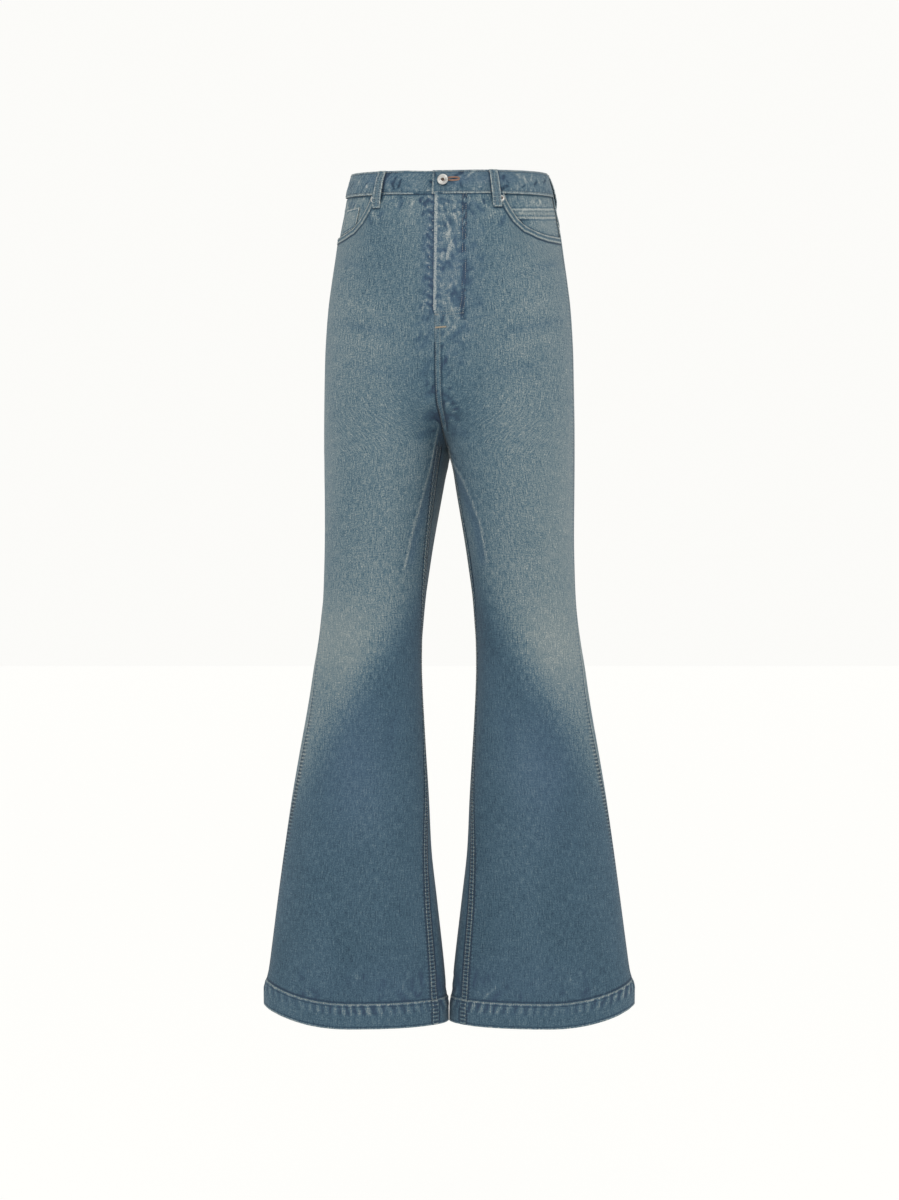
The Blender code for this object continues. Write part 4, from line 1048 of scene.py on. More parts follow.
def add_shell(name, outer, normal, wall, fields, finishes):
    """A closed shell of cloth from a grid of outer points, rows by columns, with its wear and its UVs."""
    rows, columns = outer.shape[:2]
    count = rows * columns
    inner = outer - normal * wall
    points = np.concatenate([outer.reshape(-1, 3), inner.reshape(-1, 3)]) * MM
    index = np.arange(count).reshape(rows, columns)
    quads = np.stack([index[:-1, :-1], index[:-1, 1:], index[1:, 1:], index[1:, :-1]], axis=-1).reshape(-1, 4)
    rim = np.concatenate([index[0, :], index[1:, -1], index[-1, -2::-1], index[-2:0:-1, 0]])
    after = np.roll(rim, -1)
    sides = np.stack([rim, after, after + count, rim + count], axis=-1)
    middle = quads[len(quads) // 2]
    a, b, c = (points[i] for i in middle[:3])
    if np.dot(np.cross(b - a, c - a), normal.reshape(-1, 3)[middle[0]]) < 0:
        quads = quads[:, ::-1]
    else:
        sides = sides[:, ::-1]
    faces = np.concatenate([quads, quads[:, ::-1] + count, sides])
    mesh = bpy.data.meshes.new(name)
    mesh.from_pydata(points.tolist(), [], faces.tolist())
    looks = np.zeros(len(faces), dtype=np.int32)
    looks[len(quads):2 * len(quads)] = len(finishes) - 1
    mesh.polygons.foreach_set("material_index", looks)
    mesh.polygons.foreach_set("use_smooth", np.ones(len(faces), dtype=bool))
    across = np.linalg.norm(np.diff(outer, axis=1), axis=-1)
    u = np.concatenate([np.zeros((rows, 1)), np.cumsum(across, axis=1)], axis=1)
    u = u - u[:, columns // 2][:, None]
    v = np.concatenate([[0.0], np.cumsum(np.linalg.norm(np.diff(outer[:, columns // 2], axis=0), axis=-1))])
    v = v[:, None] + 0 * u
    places = np.stack([u, -v], axis=-1).reshape(-1, 2) * MM
    corners = np.zeros(len(mesh.loops), dtype=np.int32)
    mesh.loops.foreach_get("vertex_index", corners)
    layer = mesh.uv_layers.new(name="cloth")
    layer.data.foreach_set("uv", places[corners % count].ravel().astype(np.float32))
    for field, values in fields.items():
        values = np.broadcast_to(values, (rows, columns)).ravel()
        stored = mesh.attributes.new(field, "FLOAT", "POINT")
        stored.data.foreach_set("value", np.concatenate([values, values]).astype(np.float32))
    for finish in finishes:
        mesh.materials.append(finish)
    return add_object(name, mesh)


def settle(piece, node):
    """The piece stands for its solid and rides on the one body."""
    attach(piece, "root")
    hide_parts(node)


def leg_cloth(name, side, angle, level, finishes, extra=0.0, more_tone=0.0, more_worn=0.0, rim=None):
    """A panel or a patch over the leg's rings.

    extra moves it out, more_tone and more_worn change its looks, and rim is the distance to edges of
    its own, beside those of the seams.
    """
    plain = base_point(side, angle, level)
    across = np.linalg.norm(np.diff(plain, axis=1), axis=-1)
    u = np.concatenate([np.zeros((len(plain), 1)), np.cumsum(across, axis=1)], axis=1)
    lift, fields = dress(side, angle, level, u)
    normal = outward(side, angle, level)
    outer = plain + normal * (lift + extra)[..., None]
    fields["tone"] = fields["tone"] + more_tone
    fields["worn"] = fields["worn"] + more_worn
    if rim is not None:
        fields["rim"] = np.minimum(fields["rim"], rim)
    return add_shell(name, outer, normal, CLOTH, fields, finishes)


def from_edges(grid):
    """Distances, on a grid of points, to the nearest of the grid's four edges."""
    def passed(axis):
        steps = np.linalg.norm(np.diff(grid, axis=axis), axis=-1)
        start = np.zeros_like(np.take(steps, [0], axis=axis))
        return np.cumsum(np.concatenate([start, steps], axis=axis), axis=axis)

    down, across = passed(0), passed(1)
    return np.minimum(np.minimum(down, down[-1:] - down), np.minimum(across, across[:, -1:] - across))


def on_leg(side, angle, level, proud=0.0):
    """A place on the dressed cloth, and the way out of it."""
    normal = outward(side, angle, level)
    lift, _ = dress(side, angle, level)
    return base_point(side, angle, level) + normal * (lift + proud)[..., None], normal


# ------------------------------------------------------------------ the panels, with the solids' edges
# Levels of the solids' rows at the panels' long edges; all the panels share the last ones.
LOW_ROWS = (-740, -786, -836, -892, -954, -1020, -1092)
INSEAM_ROWS = (-368, -386, -410, -440, -476, -518, -562, -606, -652, -696) + LOW_ROWS
OUTSEAM_ROWS = (-130, -158, -186, -214, -244, -275, -303, -328, -349, -364, -376, -386, -395, -403, -411,
                -420, -434, -451, -474, -504, -540, -578, -616, -656, -698) + LOW_ROWS
FRONT_INNER_ROWS = (-130, -158, -186, -214, -244, -270, -291, -307, -319, -329, -337, -344, -351, -357,
                    -363) + INSEAM_ROWS
BACK_INNER_ROWS = (-130, -158, -186, -214, -244, -275, -303, -328, -350, -368, -382, -392, -398, -391,
                   -380) + INSEAM_ROWS
FORK_ROW = 15               # the row of both tables that ends at the fork
BACK_LOWEST_ROW = 12        # where the back's edge turns up to the fork
UNDER_FORK_REACH = 14       # how sharply the back's rows bend up to the fork at their inner ends
FRONT_REACH = 2.5           # the same for the front's
EDGE = 0.02                 # degrees from a panel's edge to the seam's middle
UNDER_BAND = 2.6            # how far the cloth goes up behind the waistband


def even_rows(inner_rows):
    """Row numbers into the tables, and the levels of each row's inner and outer ends."""
    outer = np.concatenate([np.arange(-130.0, -236.0, -2.2), np.arange(-236.0, -1092.0, -3.8), [-1092.0]])
    places = np.arange(len(OUTSEAM_ROWS))
    numbers = np.interp(-outer, -np.array(OUTSEAM_ROWS, dtype=float), places)
    return numbers, np.interp(numbers, places, inner_rows), outer


def hem_grid(first, last, last_angle, shares):
    """Angles and levels of the rows under the last even one: to the stitch line, then over the hem."""
    top = hem_level(last_angle) + HEM_DEPTH
    over_hem = np.concatenate([np.linspace(0, 1, 27)[1:-1], [0.992, 1.0]])
    levels = [part_way(OUTSEAM_ROWS[-1], top, share) for share in np.linspace(0, 1, 30)[1:]]
    levels += [top - HEM_DEPTH * share for share in over_hem]
    return [part_way(first(level), last(level), shares) for level in levels], levels


def front_inner_angle(side, number, level):
    """Ring angle of the front panel's inner edge; the left one's passes the centre by the fly."""
    if number <= FORK_ROW:
        tuck = 2.0 * ease((level + 206) / 6) - 0.2 if side > 0 else -0.2
        return float(centre_angle(level, past=tuck))
    if number < FORK_ROW + 1:
        below = float(seam_angle("inseam", FRONT_INNER_ROWS[FORK_ROW + 1])) + EDGE
        return part_way(float(centre_angle(FORK)), below, number - FORK_ROW)
    return float(seam_angle("inseam", level)) + EDGE


def front_panel(side, name, finishes):
    outer_edge = float(seam_angle("outseam", POCKET_LEVEL)) - EDGE
    start = float(centre_angle(POCKET_LEVEL))
    reach = float(distance_at(outer_edge, POCKET_LEVEL))
    runs = ((0.0, 52.0, 1.5), (52.0, 94.0, 3.0), (94.0, 124.0, 1.4), (124.0, reach - 14.0, 3.2))
    distances = [np.arange(start, end, step) for start, end, step in runs]
    distances = np.unique(np.concatenate([[0.3], *distances, spaced(reach - 14.0, reach, 2.0)[2:]]))
    shares = (angle_at(distances, POCKET_LEVEL) - start) / (outer_edge - start)
    top = waist_line(side, part_way(start, outer_edge, shares), BAND_HEIGHT + BAND_SEAM_GAP)
    top = top - pocket_drop(distances - POCKET_FROM_CENTRE)
    top = top + UNDER_BAND * ease((POCKET_FROM_CENTRE - 1.0 - distances) / 3.0)
    levels = [part_way(top, OUTSEAM_ROWS[0], share) for share in spaced(0, 1, 0.021, 0.004)[:-1]]
    numbers, inner_levels, outer_levels = even_rows(FRONT_INNER_ROWS)
    numbers = np.concatenate([np.full(len(levels), -1.0), numbers])
    levels += [part_way(outer, inner, (1 - shares) ** FRONT_REACH)
               for inner, outer in zip(inner_levels, outer_levels)]
    angles = []
    for number, row in zip(numbers, levels):
        last = float(seam_angle("outseam", row[-1])) - EDGE
        angles.append(part_way(front_inner_angle(side, number, row[0]), last, shares))
    below = hem_grid(lambda z: seam_angle("inseam", z) + EDGE,
                     lambda z: seam_angle("outseam", z) - EDGE, angles[-1], shares)
    return leg_cloth(name, side, np.array(angles + below[0]), np.array(levels + below[1]), finishes)


def back_inner_angle(number, level):
    """Ring angle of the back panel's inner edge, past 360 beyond the fork."""
    if number <= BACK_LOWEST_ROW:
        return float(centre_angle(level, back=True))
    if number < BACK_LOWEST_ROW + 1:
        lowest, after = BACK_INNER_ROWS[BACK_LOWEST_ROW:BACK_LOWEST_ROW + 2]
        lowest, after = float(centre_angle(lowest, back=True)), 360 + float(centre_angle(after))
        return part_way(lowest, after, number - BACK_LOWEST_ROW)
    if number <= FORK_ROW:
        return 360 + float(centre_angle(level))
    if number < FORK_ROW + 1:
        below = 360 + float(seam_angle("inseam", BACK_INNER_ROWS[FORK_ROW + 1])) - EDGE
        return part_way(360 + float(centre_angle(FORK)), below, number - FORK_ROW)
    return 360 + float(seam_angle("inseam", level)) - EDGE


def yoke_seam(angle):
    """Level of the yoke's lower seam, dropping from the side to the centre back."""
    return YOKE_SIDE + (YOKE_CENTRE - YOKE_SIDE) * np.clip((angle - 180) / 100, 0, 1)


def back_shares():
    """Columns of the back panel and the yoke, closer along both long seams."""
    middle = np.linspace(0.075, 0.90, 56)
    return np.concatenate([[0.0, 0.002], np.linspace(0.012, 0.064, 6), middle, np.linspace(0.908, 0.988, 11),
                           [0.998, 1.0]])


def back_panel(side, name, finishes):
    shares = back_shares()
    outer = 180 + EDGE
    top = yoke_seam(part_way(outer, float(centre_angle(YOKE_CENTRE, back=True)), shares)) - SEAM_GAP
    levels = [part_way(top, OUTSEAM_ROWS[0], share) for share in spaced(0, 1, 0.05, 0.01)[:-1]]
    angles = [part_way(outer, float(centre_angle(row[-1], back=True)), shares) for row in levels]
    for number, inner, far in zip(*even_rows(BACK_INNER_ROWS)):
        start = float(seam_angle("outseam", far)) + EDGE
        angles.append(part_way(start, back_inner_angle(number, inner), shares))
        levels.append(part_way(far, inner, shares ** UNDER_FORK_REACH))
    below = hem_grid(lambda z: seam_angle("outseam", z) + EDGE,
                     lambda z: 360 + seam_angle("inseam", z) - EDGE, angles[-1], shares)
    return leg_cloth(name, side, np.array(angles + below[0]), np.array(levels + below[1]), finishes)


def yoke(side, name, finishes):
    shares = back_shares()
    outer = 180 + EDGE

    def across(level):
        return part_way(outer, float(centre_angle(level, back=True)), shares)

    bottom = yoke_seam(across(YOKE_CENTRE))
    top = waist_line(side, across(-8.0), BAND_HEIGHT + BAND_SEAM_GAP) + UNDER_BAND
    rows = np.array([part_way(top, bottom, share) for share in spaced(0, 1, 0.06, 0.01)])
    angles = np.array([across(row[-1]) for row in rows])
    outwards = 0.7 - 1.2 * ease((rows - top + UNDER_BAND + 1.0) / 2.0)
    return leg_cloth(name, side, angles, rows, finishes, outwards)


# ------------------------------------------------------------------ pockets, shield, band, loops
PATCH_GAP = 0.7
FACING_PAST_OPENING = 12.0
FACING_BOTTOM = -96.0
COIN_POCKET_TOP = -42.0
COIN_POCKET_INNER = 22.0
COIN_POCKET_OUTER = 58.0
SHIELD_WALL = 1.2
FLY_BUTTON_HEIGHT = 2.8
BAND_WALL = 2.6
BAND_TONE = 0.49
BAND_CREASES = 150
BAND_PUCKER_PITCH = 7.5
BAND_STITCHES = 2.6         # from both of its edges
HOLE_FROM_CENTRE = 23.0     # the buttonhole's middle, from the centre front

# Darker, bluer areas of the waistband: distance from the centre front, reach along it, how dark.
BAND_SHADE_COLUMNS = ("at", "reach", "dark")
BAND_SHADES = ((-322, 34, 0.09), (86, 26, 0.10), (32, 20, 0.08), (-84, 24, 0.05))
FACING_STRIP = (209.0, 217.5)    # seen: the stitched strip across the left facing
FACING_STITCHES = (211.0, 214.0, 217.0)


def pocket_facing(side, name, finishes):
    """The piece that shows inside the front pocket's opening, behind the front panel."""
    outer_edge = float(seam_angle("outseam", POCKET_LEVEL)) - EDGE
    start = float(angle_at(POCKET_FROM_CENTRE - FACING_PAST_OPENING, POCKET_LEVEL))
    angle = spaced(start, outer_edge, (outer_edge - start) / 44, 0.2)
    top = waist_line(side, angle, BAND_HEIGHT + BAND_SEAM_GAP) + UNDER_BAND
    rows = np.array([part_way(top, FACING_BOTTOM, share) for share in spaced(0, 1, 0.025, 0.005)])
    angle = angle[None, :] + 0 * rows
    x, y = seen_from_front(base_point(side, angle, rows))
    strip = ease((y - FACING_STRIP[0]) / 1.2) * ease((FACING_STRIP[1] - y) / 1.2) * (side > 0)
    shadow = (side > 0) * blob(x, y, (521, 220), (9, 2.6))
    to_line = np.minimum(np.abs(y - FACING_STRIP[0]), np.abs(y - FACING_STRIP[1])) * MM_A_PIXEL
    rim = np.where((side > 0) & (x > 511), to_line + 0.3, FAR)
    return leg_cloth(name, side, angle, rows, finishes, -(CLOTH + PATCH_GAP) + 0.5 * strip,
                     0.04 * strip - 0.30 * shadow, 0.12 * strip, rim)


def coin_pocket(side, name, finishes):
    """The small pocket on the facing, as far as the opening shows it."""
    past_opening = np.linspace(COIN_POCKET_INNER, COIN_POCKET_OUTER, 22)
    angle = angle_at(POCKET_FROM_CENTRE + past_opening, POCKET_LEVEL)
    bottom = waist_line(side, angle, BAND_HEIGHT + BAND_SEAM_GAP) - pocket_drop(past_opening) + 2.0
    rows = np.array([part_way(COIN_POCKET_TOP, bottom, share) for share in spaced(0, 1, 0.07, 0.02)])
    angle = angle[None, :] + 0 * rows
    rim = from_edges(base_point(side, angle, rows))
    return leg_cloth(name, side, angle, rows, finishes, -SEAM_GAP, 0.02, 0.1, rim)


def back_pocket_places(columns, shares):
    """Ring angles and levels of the back pocket over its width, -1 to 1, and its height, 0 to 1."""
    angles, levels = [], []
    for share in shares:
        half = BACK_POCKET_WIDTH / 2 * (1 - BACK_POCKET_NARROWS * share)
        level = BACK_POCKET_TOP - (BACK_POCKET_HEIGHT + BACK_POCKET_POINT * (1 - np.abs(columns))) * share
        from_centre_back = BACK_POCKET_FROM_CENTRE - half * columns
        angles.append([float(angle_at(half_girth(z) - d, z)) for d, z in zip(from_centre_back, level)])
        levels.append(level)
    return np.array(angles), np.array(levels)


def back_pocket(side, name, finishes):
    """A plain patch pocket with a pointed lower edge."""
    angles, levels = back_pocket_places(np.linspace(-1, 1, 61), spaced(0, 1, 0.018, 0.003))
    rows, columns = (np.linspace(0, 1, count) for count in angles.shape)
    rows = rows[:, None]
    to_edge = np.minimum(np.minimum(rows, 1 - rows), np.minimum(columns, 1 - columns))
    full = np.clip(np.sin(np.pi * rows), 0, 1) * np.clip(np.sin(np.pi * columns), 0, 1)
    worn = 0.25 * ease(1 - to_edge / 0.035) + 0.15 * ease(1 - rows / 0.10)
    rim = from_edges(base_point(side, angles, levels))
    proud = CLOTH + PATCH_GAP + 1.2 * full
    return leg_cloth(name, side, angles, levels, finishes, proud, 0.05 * full, worn, rim)


def around(distance, below_top):
    """Side, ring angle and level at a distance from the centre front, + to the left, under the top edge."""
    half = half_girth(0.0)
    share = (distance / half + 1.0) % 2.0 - 1.0
    side = 1 if share >= 0 else -1
    level = 0.0
    for _ in range(3):
        angle = float(angle_at(abs(share) * half_girth(level), level))
        level = float(waist_line(side, angle, below_top))
    return side, angle, level


def body_grid(distances, belows):
    """Points and outward directions with no folds, for rows of depths under the band's top edge."""
    ends = (belows[0], belows[-1])
    first, last = (np.array([around(distance, below) for distance in distances]) for below in ends)
    points, normals = [], []
    for below in belows:
        share = (below - belows[0]) / max(belows[-1] - belows[0], 1e-9)
        side, angle, level = part_way(first, last, share).T
        points.append(base_point(side, angle, level))
        normals.append(outward(side, angle, level))
    return np.array(points), np.array(normals)


def plain_fields(grid, **fields):
    """What the denim reads on a piece that is sewn or worn along all its edges."""
    return {"blue": 0.1, "bead": 0.0, "rim": from_edges(grid), "gap": FAR, **fields}


def fly_shield(name, finishes):
    """The under piece of the fly, which carries the hidden buttons."""
    distances = np.linspace(-9.0, FLY_WIDTH, 20)
    belows = np.linspace(BAND_HEIGHT + 1.4, BAND_HEIGHT + FLY_LENGTH - 10.0, 40)
    points, normals = body_grid(distances, belows)
    depth = CLOTH + SEAM_GAP + (FLY_BUTTON_HEIGHT + SEAM_GAP) * ease((distances + 4.0) / 10.0)
    outer = points - normals * depth[None, :, None]
    fields = plain_fields(points, tone=0.48, blue=0.2, worn=0.1)
    return add_shell(name, outer, normals, SHIELD_WALL, fields, finishes)


def waistband(name, finishes):
    """One folded strip, buttoned left over right, so that its right end passes under its left end."""
    girth = 2 * half_girth(0.0)
    start, end = -BAND_END_PAST_FRONT, girth + BAND_UNDERLAP
    distances = spaced(start, end, 1.8)
    belows = BAND_HEIGHT * spaced(0, 1, 0.042, 0.012)
    points, normals = body_grid(distances, belows)
    sunk = (BAND_WALL + SEAM_GAP) * ease((distances - (girth - 46.0)) / 34.0)[None, :]
    d, b = np.meshgrid(distances, belows)
    lift, tone = 0 * d, BAND_TONE + 0 * d
    worn = 0.30 * bell(b - BAND_HEIGHT + 5, 3.5)
    gap = FAR + 0 * d
    # painted shadows beside the loops
    for loop in (LOOP_FROM_CENTRE, girth - LOOP_FROM_CENTRE, girth / 2):
        gap = np.minimum(gap, np.maximum(np.abs(d - loop) - LOOP_WIDTH / 2, 0))
    lift = lift - 0.35 * (bell(b - BAND_STITCHES, 1.3) + bell(b - BAND_HEIGHT + BAND_STITCHES, 1.3))
    lift = lift - 0.6 * bell(b - BAND_HEIGHT, 1.2) - 0.6 * bell(b, 0.9)
    blue = 0.12 + 0 * d
    crease = np.random.default_rng(5)
    for k in range(BAND_CREASES):
        at = start + (end - start) * (k + crease.uniform(0, 1)) / BAND_CREASES
        lean, foot = crease.uniform(-16, 22), crease.uniform(12, 33)
        path = ((at, foot), (at + lean, foot - crease.uniform(5, 18)))
        shown = 0.40 + 0.60 * np.cos(np.pi * at / girth) ** 4
        mask = stroke(d, b, path, crease.uniform(1.0, 2.4) * (1.5 - 0.5 * shown))
        depth = crease.uniform(-1.1, 0.9) * shown
        lift = lift + mask * depth
        worn = worn + mask * max(depth, 0) * 1.5
        # crease troughs darkened: painted shade
        tone = tone + mask * min(depth, 0) * 0.70
    for k in range(int((end - start) / BAND_PUCKER_PITCH)):
        at = start + BAND_PUCKER_PITCH * (k + crease.uniform(0.2, 0.8))
        # each pucker's dent is painted in shade
        mask = blob(d, b, (at, BAND_HEIGHT - 5.6), (2.0, 2.4))
        lift, tone = lift - 0.5 * mask, tone - 0.32 * mask
    for shade in rows_of(BAND_SHADE_COLUMNS, BAND_SHADES):
        mask = blob(d, b, (shade["at"] % girth, 13), (shade["reach"], 9))
        tone, blue = tone - shade["dark"] * mask, blue + 0.45 * mask
    outer = points + normals * (BAND_PROUD - sunk + lift)[..., None]
    fields = plain_fields(points, tone=tone, blue=blue, worn=np.clip(worn, 0, 1.2), gap=gap)
    return add_shell(name, outer, normals, BAND_WALL - 0.2, fields, finishes)


# A belt loop's stand over the cloth, in millimetres, by the share of its length from the top.
LOOP_STAND = ((0.0, 1.4), (0.06, 1.6), (0.16, 2.9), (0.30, 3.6), (0.60, 3.8), (0.72, 3.7), (0.84, 2.6),
              (0.93, 0.9), (1.0, 0.7))


def belt_loop(name, distance, finishes):
    """A folded strip from the band's top edge to below its seam, standing off in the middle."""
    heights, stands = np.array(LOOP_STAND).T
    down = spaced(0, 1, 0.028, 0.006)
    half = np.array([0.08, 0.2, 0.31, 0.40, 0.47, 0.5])
    offsets = LOOP_WIDTH * np.concatenate([-half[::-1], half])
    points, normals = body_grid(distance + offsets, 0.6 + LOOP_LENGTH * down)
    across = offsets[None, :] / LOOP_WIDTH
    crown = 0.45 - 1.6 * np.clip(np.abs(across) - 0.38, 0, 1) - 0.35 * bell(across, 0.10)
    wrinkle = 0.16 * np.sin(down * 40 + distance)[:, None]
    proud = np.interp(down, heights, stands)[:, None] + 1.6 + crown + wrinkle
    # two darker lines beside the loop's stitched rows are painted shade in their grooves
    fields = plain_fields(points, tone=0.52 - 0.20 * bell(np.abs(across) - 0.26, 0.06), worn=0.15, bead=0.25)
    outer = points + normals * proud[..., None]
    return add_shell(name, outer, normals, 1.7, fields, finishes)


# ------------------------------------------------------------------ buttons and rivets
# Profiles as radius and height, from the cloth outwards.
SHANK_BUTTON = ((0, 0), (3.4, 0), (3.4, 1.5), (7.3, 1.6), (8.0, 2.1), (8.2, 2.8), (8.0, 3.5), (7.4, 4.1),
                (6.5, 4.45), (5.6, 4.4), (4.9, 4.05), (4.4, 3.4), (4.0, 2.9), (3.3, 2.6), (2.6, 2.5))
BUTTON_EYE = ((2.6, 2.5), (2.2, 2.2), (1.7, 2.1), (1.3, 2.7), (0.7, 3.0), (0, 3.05))
RIVET = ((0, 0), (4.7, 0), (4.75, 0.45), (4.4, 1.05), (3.6, 1.4), (2.9, 1.35), (2.3, 0.95))
RIVET_EYE = ((2.3, 0.95), (1.9, 0.85), (1.4, 1.2), (0.7, 1.5), (0, 1.55))
FLY_BUTTON = ((0, 0.1), (6.0, 0.1), (6.7, 0.4), (7.0, 1.0), (7.0, 1.9), (6.6, 2.5), (5.8, 2.8), (3.0, 2.5),
              (0, 2.4))


def round_turns(count):
    return np.linspace(0, 2 * np.pi, count, endpoint=False)


def from_bmesh(name, shape, finishes):
    """A hard piece or thread from its finished shape, riding on the one body."""
    bmesh.ops.recalc_face_normals(shape, faces=shape.faces)
    mesh = bpy.data.meshes.new(name)
    shape.to_mesh(mesh)
    shape.free()
    for finish in finishes:
        mesh.materials.append(finish)
    piece = add_object(name, mesh)
    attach(piece, "root")
    return piece


def turned(name, profile, place, axis, finishes, eye=(), segments=48):
    """A solid turned about an axis from radius and height pairs; the eye's rings take the last finish."""
    to_axis = Vector((0, 0, 1)).rotation_difference(Vector(axis))
    shape = bmesh.new()
    rings = []
    for radius, height in (*profile, *eye[1:]):
        ring = [Vector((radius * np.cos(t), radius * np.sin(t), height)) for t in
                round_turns(segments if radius else 1)]
        rings.append([shape.verts.new((to_axis @ point) * MM + Vector(place) * MM) for point in ring])
    for number, (low, high) in enumerate(zip(rings, rings[1:])):
        for k in range(segments):
            n = (k + 1) % segments
            corners = [low[k % len(low)], low[n % len(low)], high[n % len(high)], high[k % len(high)]]
            face = shape.faces.new(list(dict.fromkeys(corners)))
            face.material_index = len(finishes) - 1 if number >= len(profile) - 1 else 0
            face.smooth = True
    return from_bmesh(name, shape, finishes)


def hardware_place(node):
    """Where the solid's own turned part stands on the cloth: the middle of its box, and outwards."""
    low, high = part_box(node)
    middle = np.array((low + high) / 2) / MM
    side = 1 if middle[0] >= 0 or node.startswith(("waist", "fly")) else -1
    angles = np.linspace(20, 170, 601)
    away = np.linalg.norm(base_point(side, angles, np.full(601, middle[2])) - middle, axis=-1)
    angle = np.array(angles[away.argmin()])
    return side, angle, np.array(middle[2]), middle


def buttonhole(name, finishes):
    """A long ring of thread worked on the band's end."""
    _, _, level, _ = hardware_place("waist_button")
    length, height, thick, segments = 17.0, 4.6, 0.85, 96
    turns = round_turns(segments)
    across = (length - height) / 2 * np.sign(np.cos(turns)) * np.minimum(1, np.abs(np.cos(turns)) * 1.4)
    xs = HOLE_FROM_CENTRE + across + height / 2 * np.cos(turns)
    zs = float(level) + 1.0 + height / 2 * np.sin(turns)
    angles = np.array([float(angle_at(x, 0.0)) for x in xs])
    normal = outward(1, angles, zs)
    middle = base_point(1, angles, zs) + normal * (BAND_PROUD + 0.25)
    way = np.roll(middle, -1, axis=0) - np.roll(middle, 1, axis=0)
    way /= np.linalg.norm(way, axis=-1, keepdims=True)
    sideways = np.cross(normal, way)
    shape = bmesh.new()
    rings = []
    for k in range(segments):
        radius = thick * (1 + 0.22 * (k % 2))
        spokes = [np.cos(t) * sideways[k] * 1.3 + np.sin(t) * normal[k] for t in round_turns(8)]
        rings.append([shape.verts.new(Vector((middle[k] + radius * spoke) * MM)) for spoke in spokes])
    for k, ring in enumerate(rings):
        beyond = rings[(k + 1) % segments]
        for j in range(len(ring)):
            n = (j + 1) % len(ring)
            face = shape.faces.new([ring[j], ring[n], beyond[n], beyond[j]])
            face.smooth = True
    from_bmesh(name, shape, finishes)


# ------------------------------------------------------------------ stitches
STITCH_PITCH = 0.0032       # metres, as are the other two
STITCH_LENGTH = 0.0027
THREAD_WIDTH = 0.00062


def stitch_tree(finish):
    """Geometry nodes that lay one stitch at each pitch along every path, flat on the cloth."""
    tree = bpy.data.node_groups.new("stitches", "GeometryNodeTree")
    inputs = (("Paths", "NodeSocketGeometry", None), ("Pitch", "NodeSocketFloat", STITCH_PITCH),
              ("Stitch Length", "NodeSocketFloat", STITCH_LENGTH),
              ("Thread Width", "NodeSocketFloat", THREAD_WIDTH), ("Seed", "NodeSocketInt", 3))
    for name, kind, value in inputs:
        socket = tree.interface.new_socket(name, in_out="INPUT", socket_type=kind)
        if value is not None:
            socket.default_value = value
    tree.interface.new_socket("Stitches", in_out="OUTPUT", socket_type="NodeSocketGeometry")

    def add(kind, settings, links):
        node = tree.nodes.new(kind)
        for name, value in settings.items():
            setattr(node, name, value)
        for socket, value in links.items():
            if isinstance(value, bpy.types.NodeSocket):
                tree.links.new(value, node.inputs[socket])
            else:
                node.inputs[socket].default_value = value
        return node

    given = add("NodeGroupInput", {}, {}).outputs
    curve = add("GeometryNodeMeshToCurve", {}, {0: given["Paths"]})
    even = add("GeometryNodeResampleCurve", {"mode": "LENGTH"},
               {"Curve": curve.outputs[0], "Length": given["Pitch"]})
    ball = add("GeometryNodeMeshUVSphere", {}, {"Segments": 6, "Rings": 4, "Radius": 1.0})
    half = add("ShaderNodeMath", {"operation": "MULTIPLY"}, {0: given["Stitch Length"], 1: 0.5})
    thick = add("ShaderNodeMath", {"operation": "MULTIPLY"}, {0: given["Thread Width"], 1: 0.5})
    size = add("ShaderNodeCombineXYZ", {},
               {"X": half.outputs[0], "Y": thick.outputs[0], "Z": thick.outputs[0]})
    one = add("GeometryNodeTransform", {}, {"Geometry": ball.outputs[0], "Scale": size.outputs[0]})
    way = add("GeometryNodeInputTangent", {}, {})
    out = add("GeometryNodeInputNamedAttribute", {"data_type": "FLOAT_VECTOR"}, {"Name": "out"})
    ahead = add("FunctionNodeAlignRotationToVector", {"axis": "X"}, {"Vector": way.outputs[0]})
    flat = add("FunctionNodeAlignRotationToVector", {"axis": "Z", "pivot_axis": "X"},
               {"Rotation": ahead.outputs[0], "Vector": out.outputs[0]})
    uneven = add("FunctionNodeRandomValue", {"data_type": "FLOAT_VECTOR"},
                 {0: (0.82, 0.9, 0.8), 1: (1.08, 1.2, 1.15), "Seed": given["Seed"]})
    laid = add("GeometryNodeInstanceOnPoints", {}, {"Points": even.outputs[0], "Instance": one.outputs[0],
                                                    "Rotation": flat.outputs[0], "Scale": uneven.outputs[0]})
    real = add("GeometryNodeRealizeInstances", {}, {0: laid.outputs[0]})
    finished = add("GeometryNodeSetMaterial", {}, {"Geometry": real.outputs[0], "Material": finish})
    add("NodeGroupOutput", {}, {0: finished.outputs[0]})
    return tree


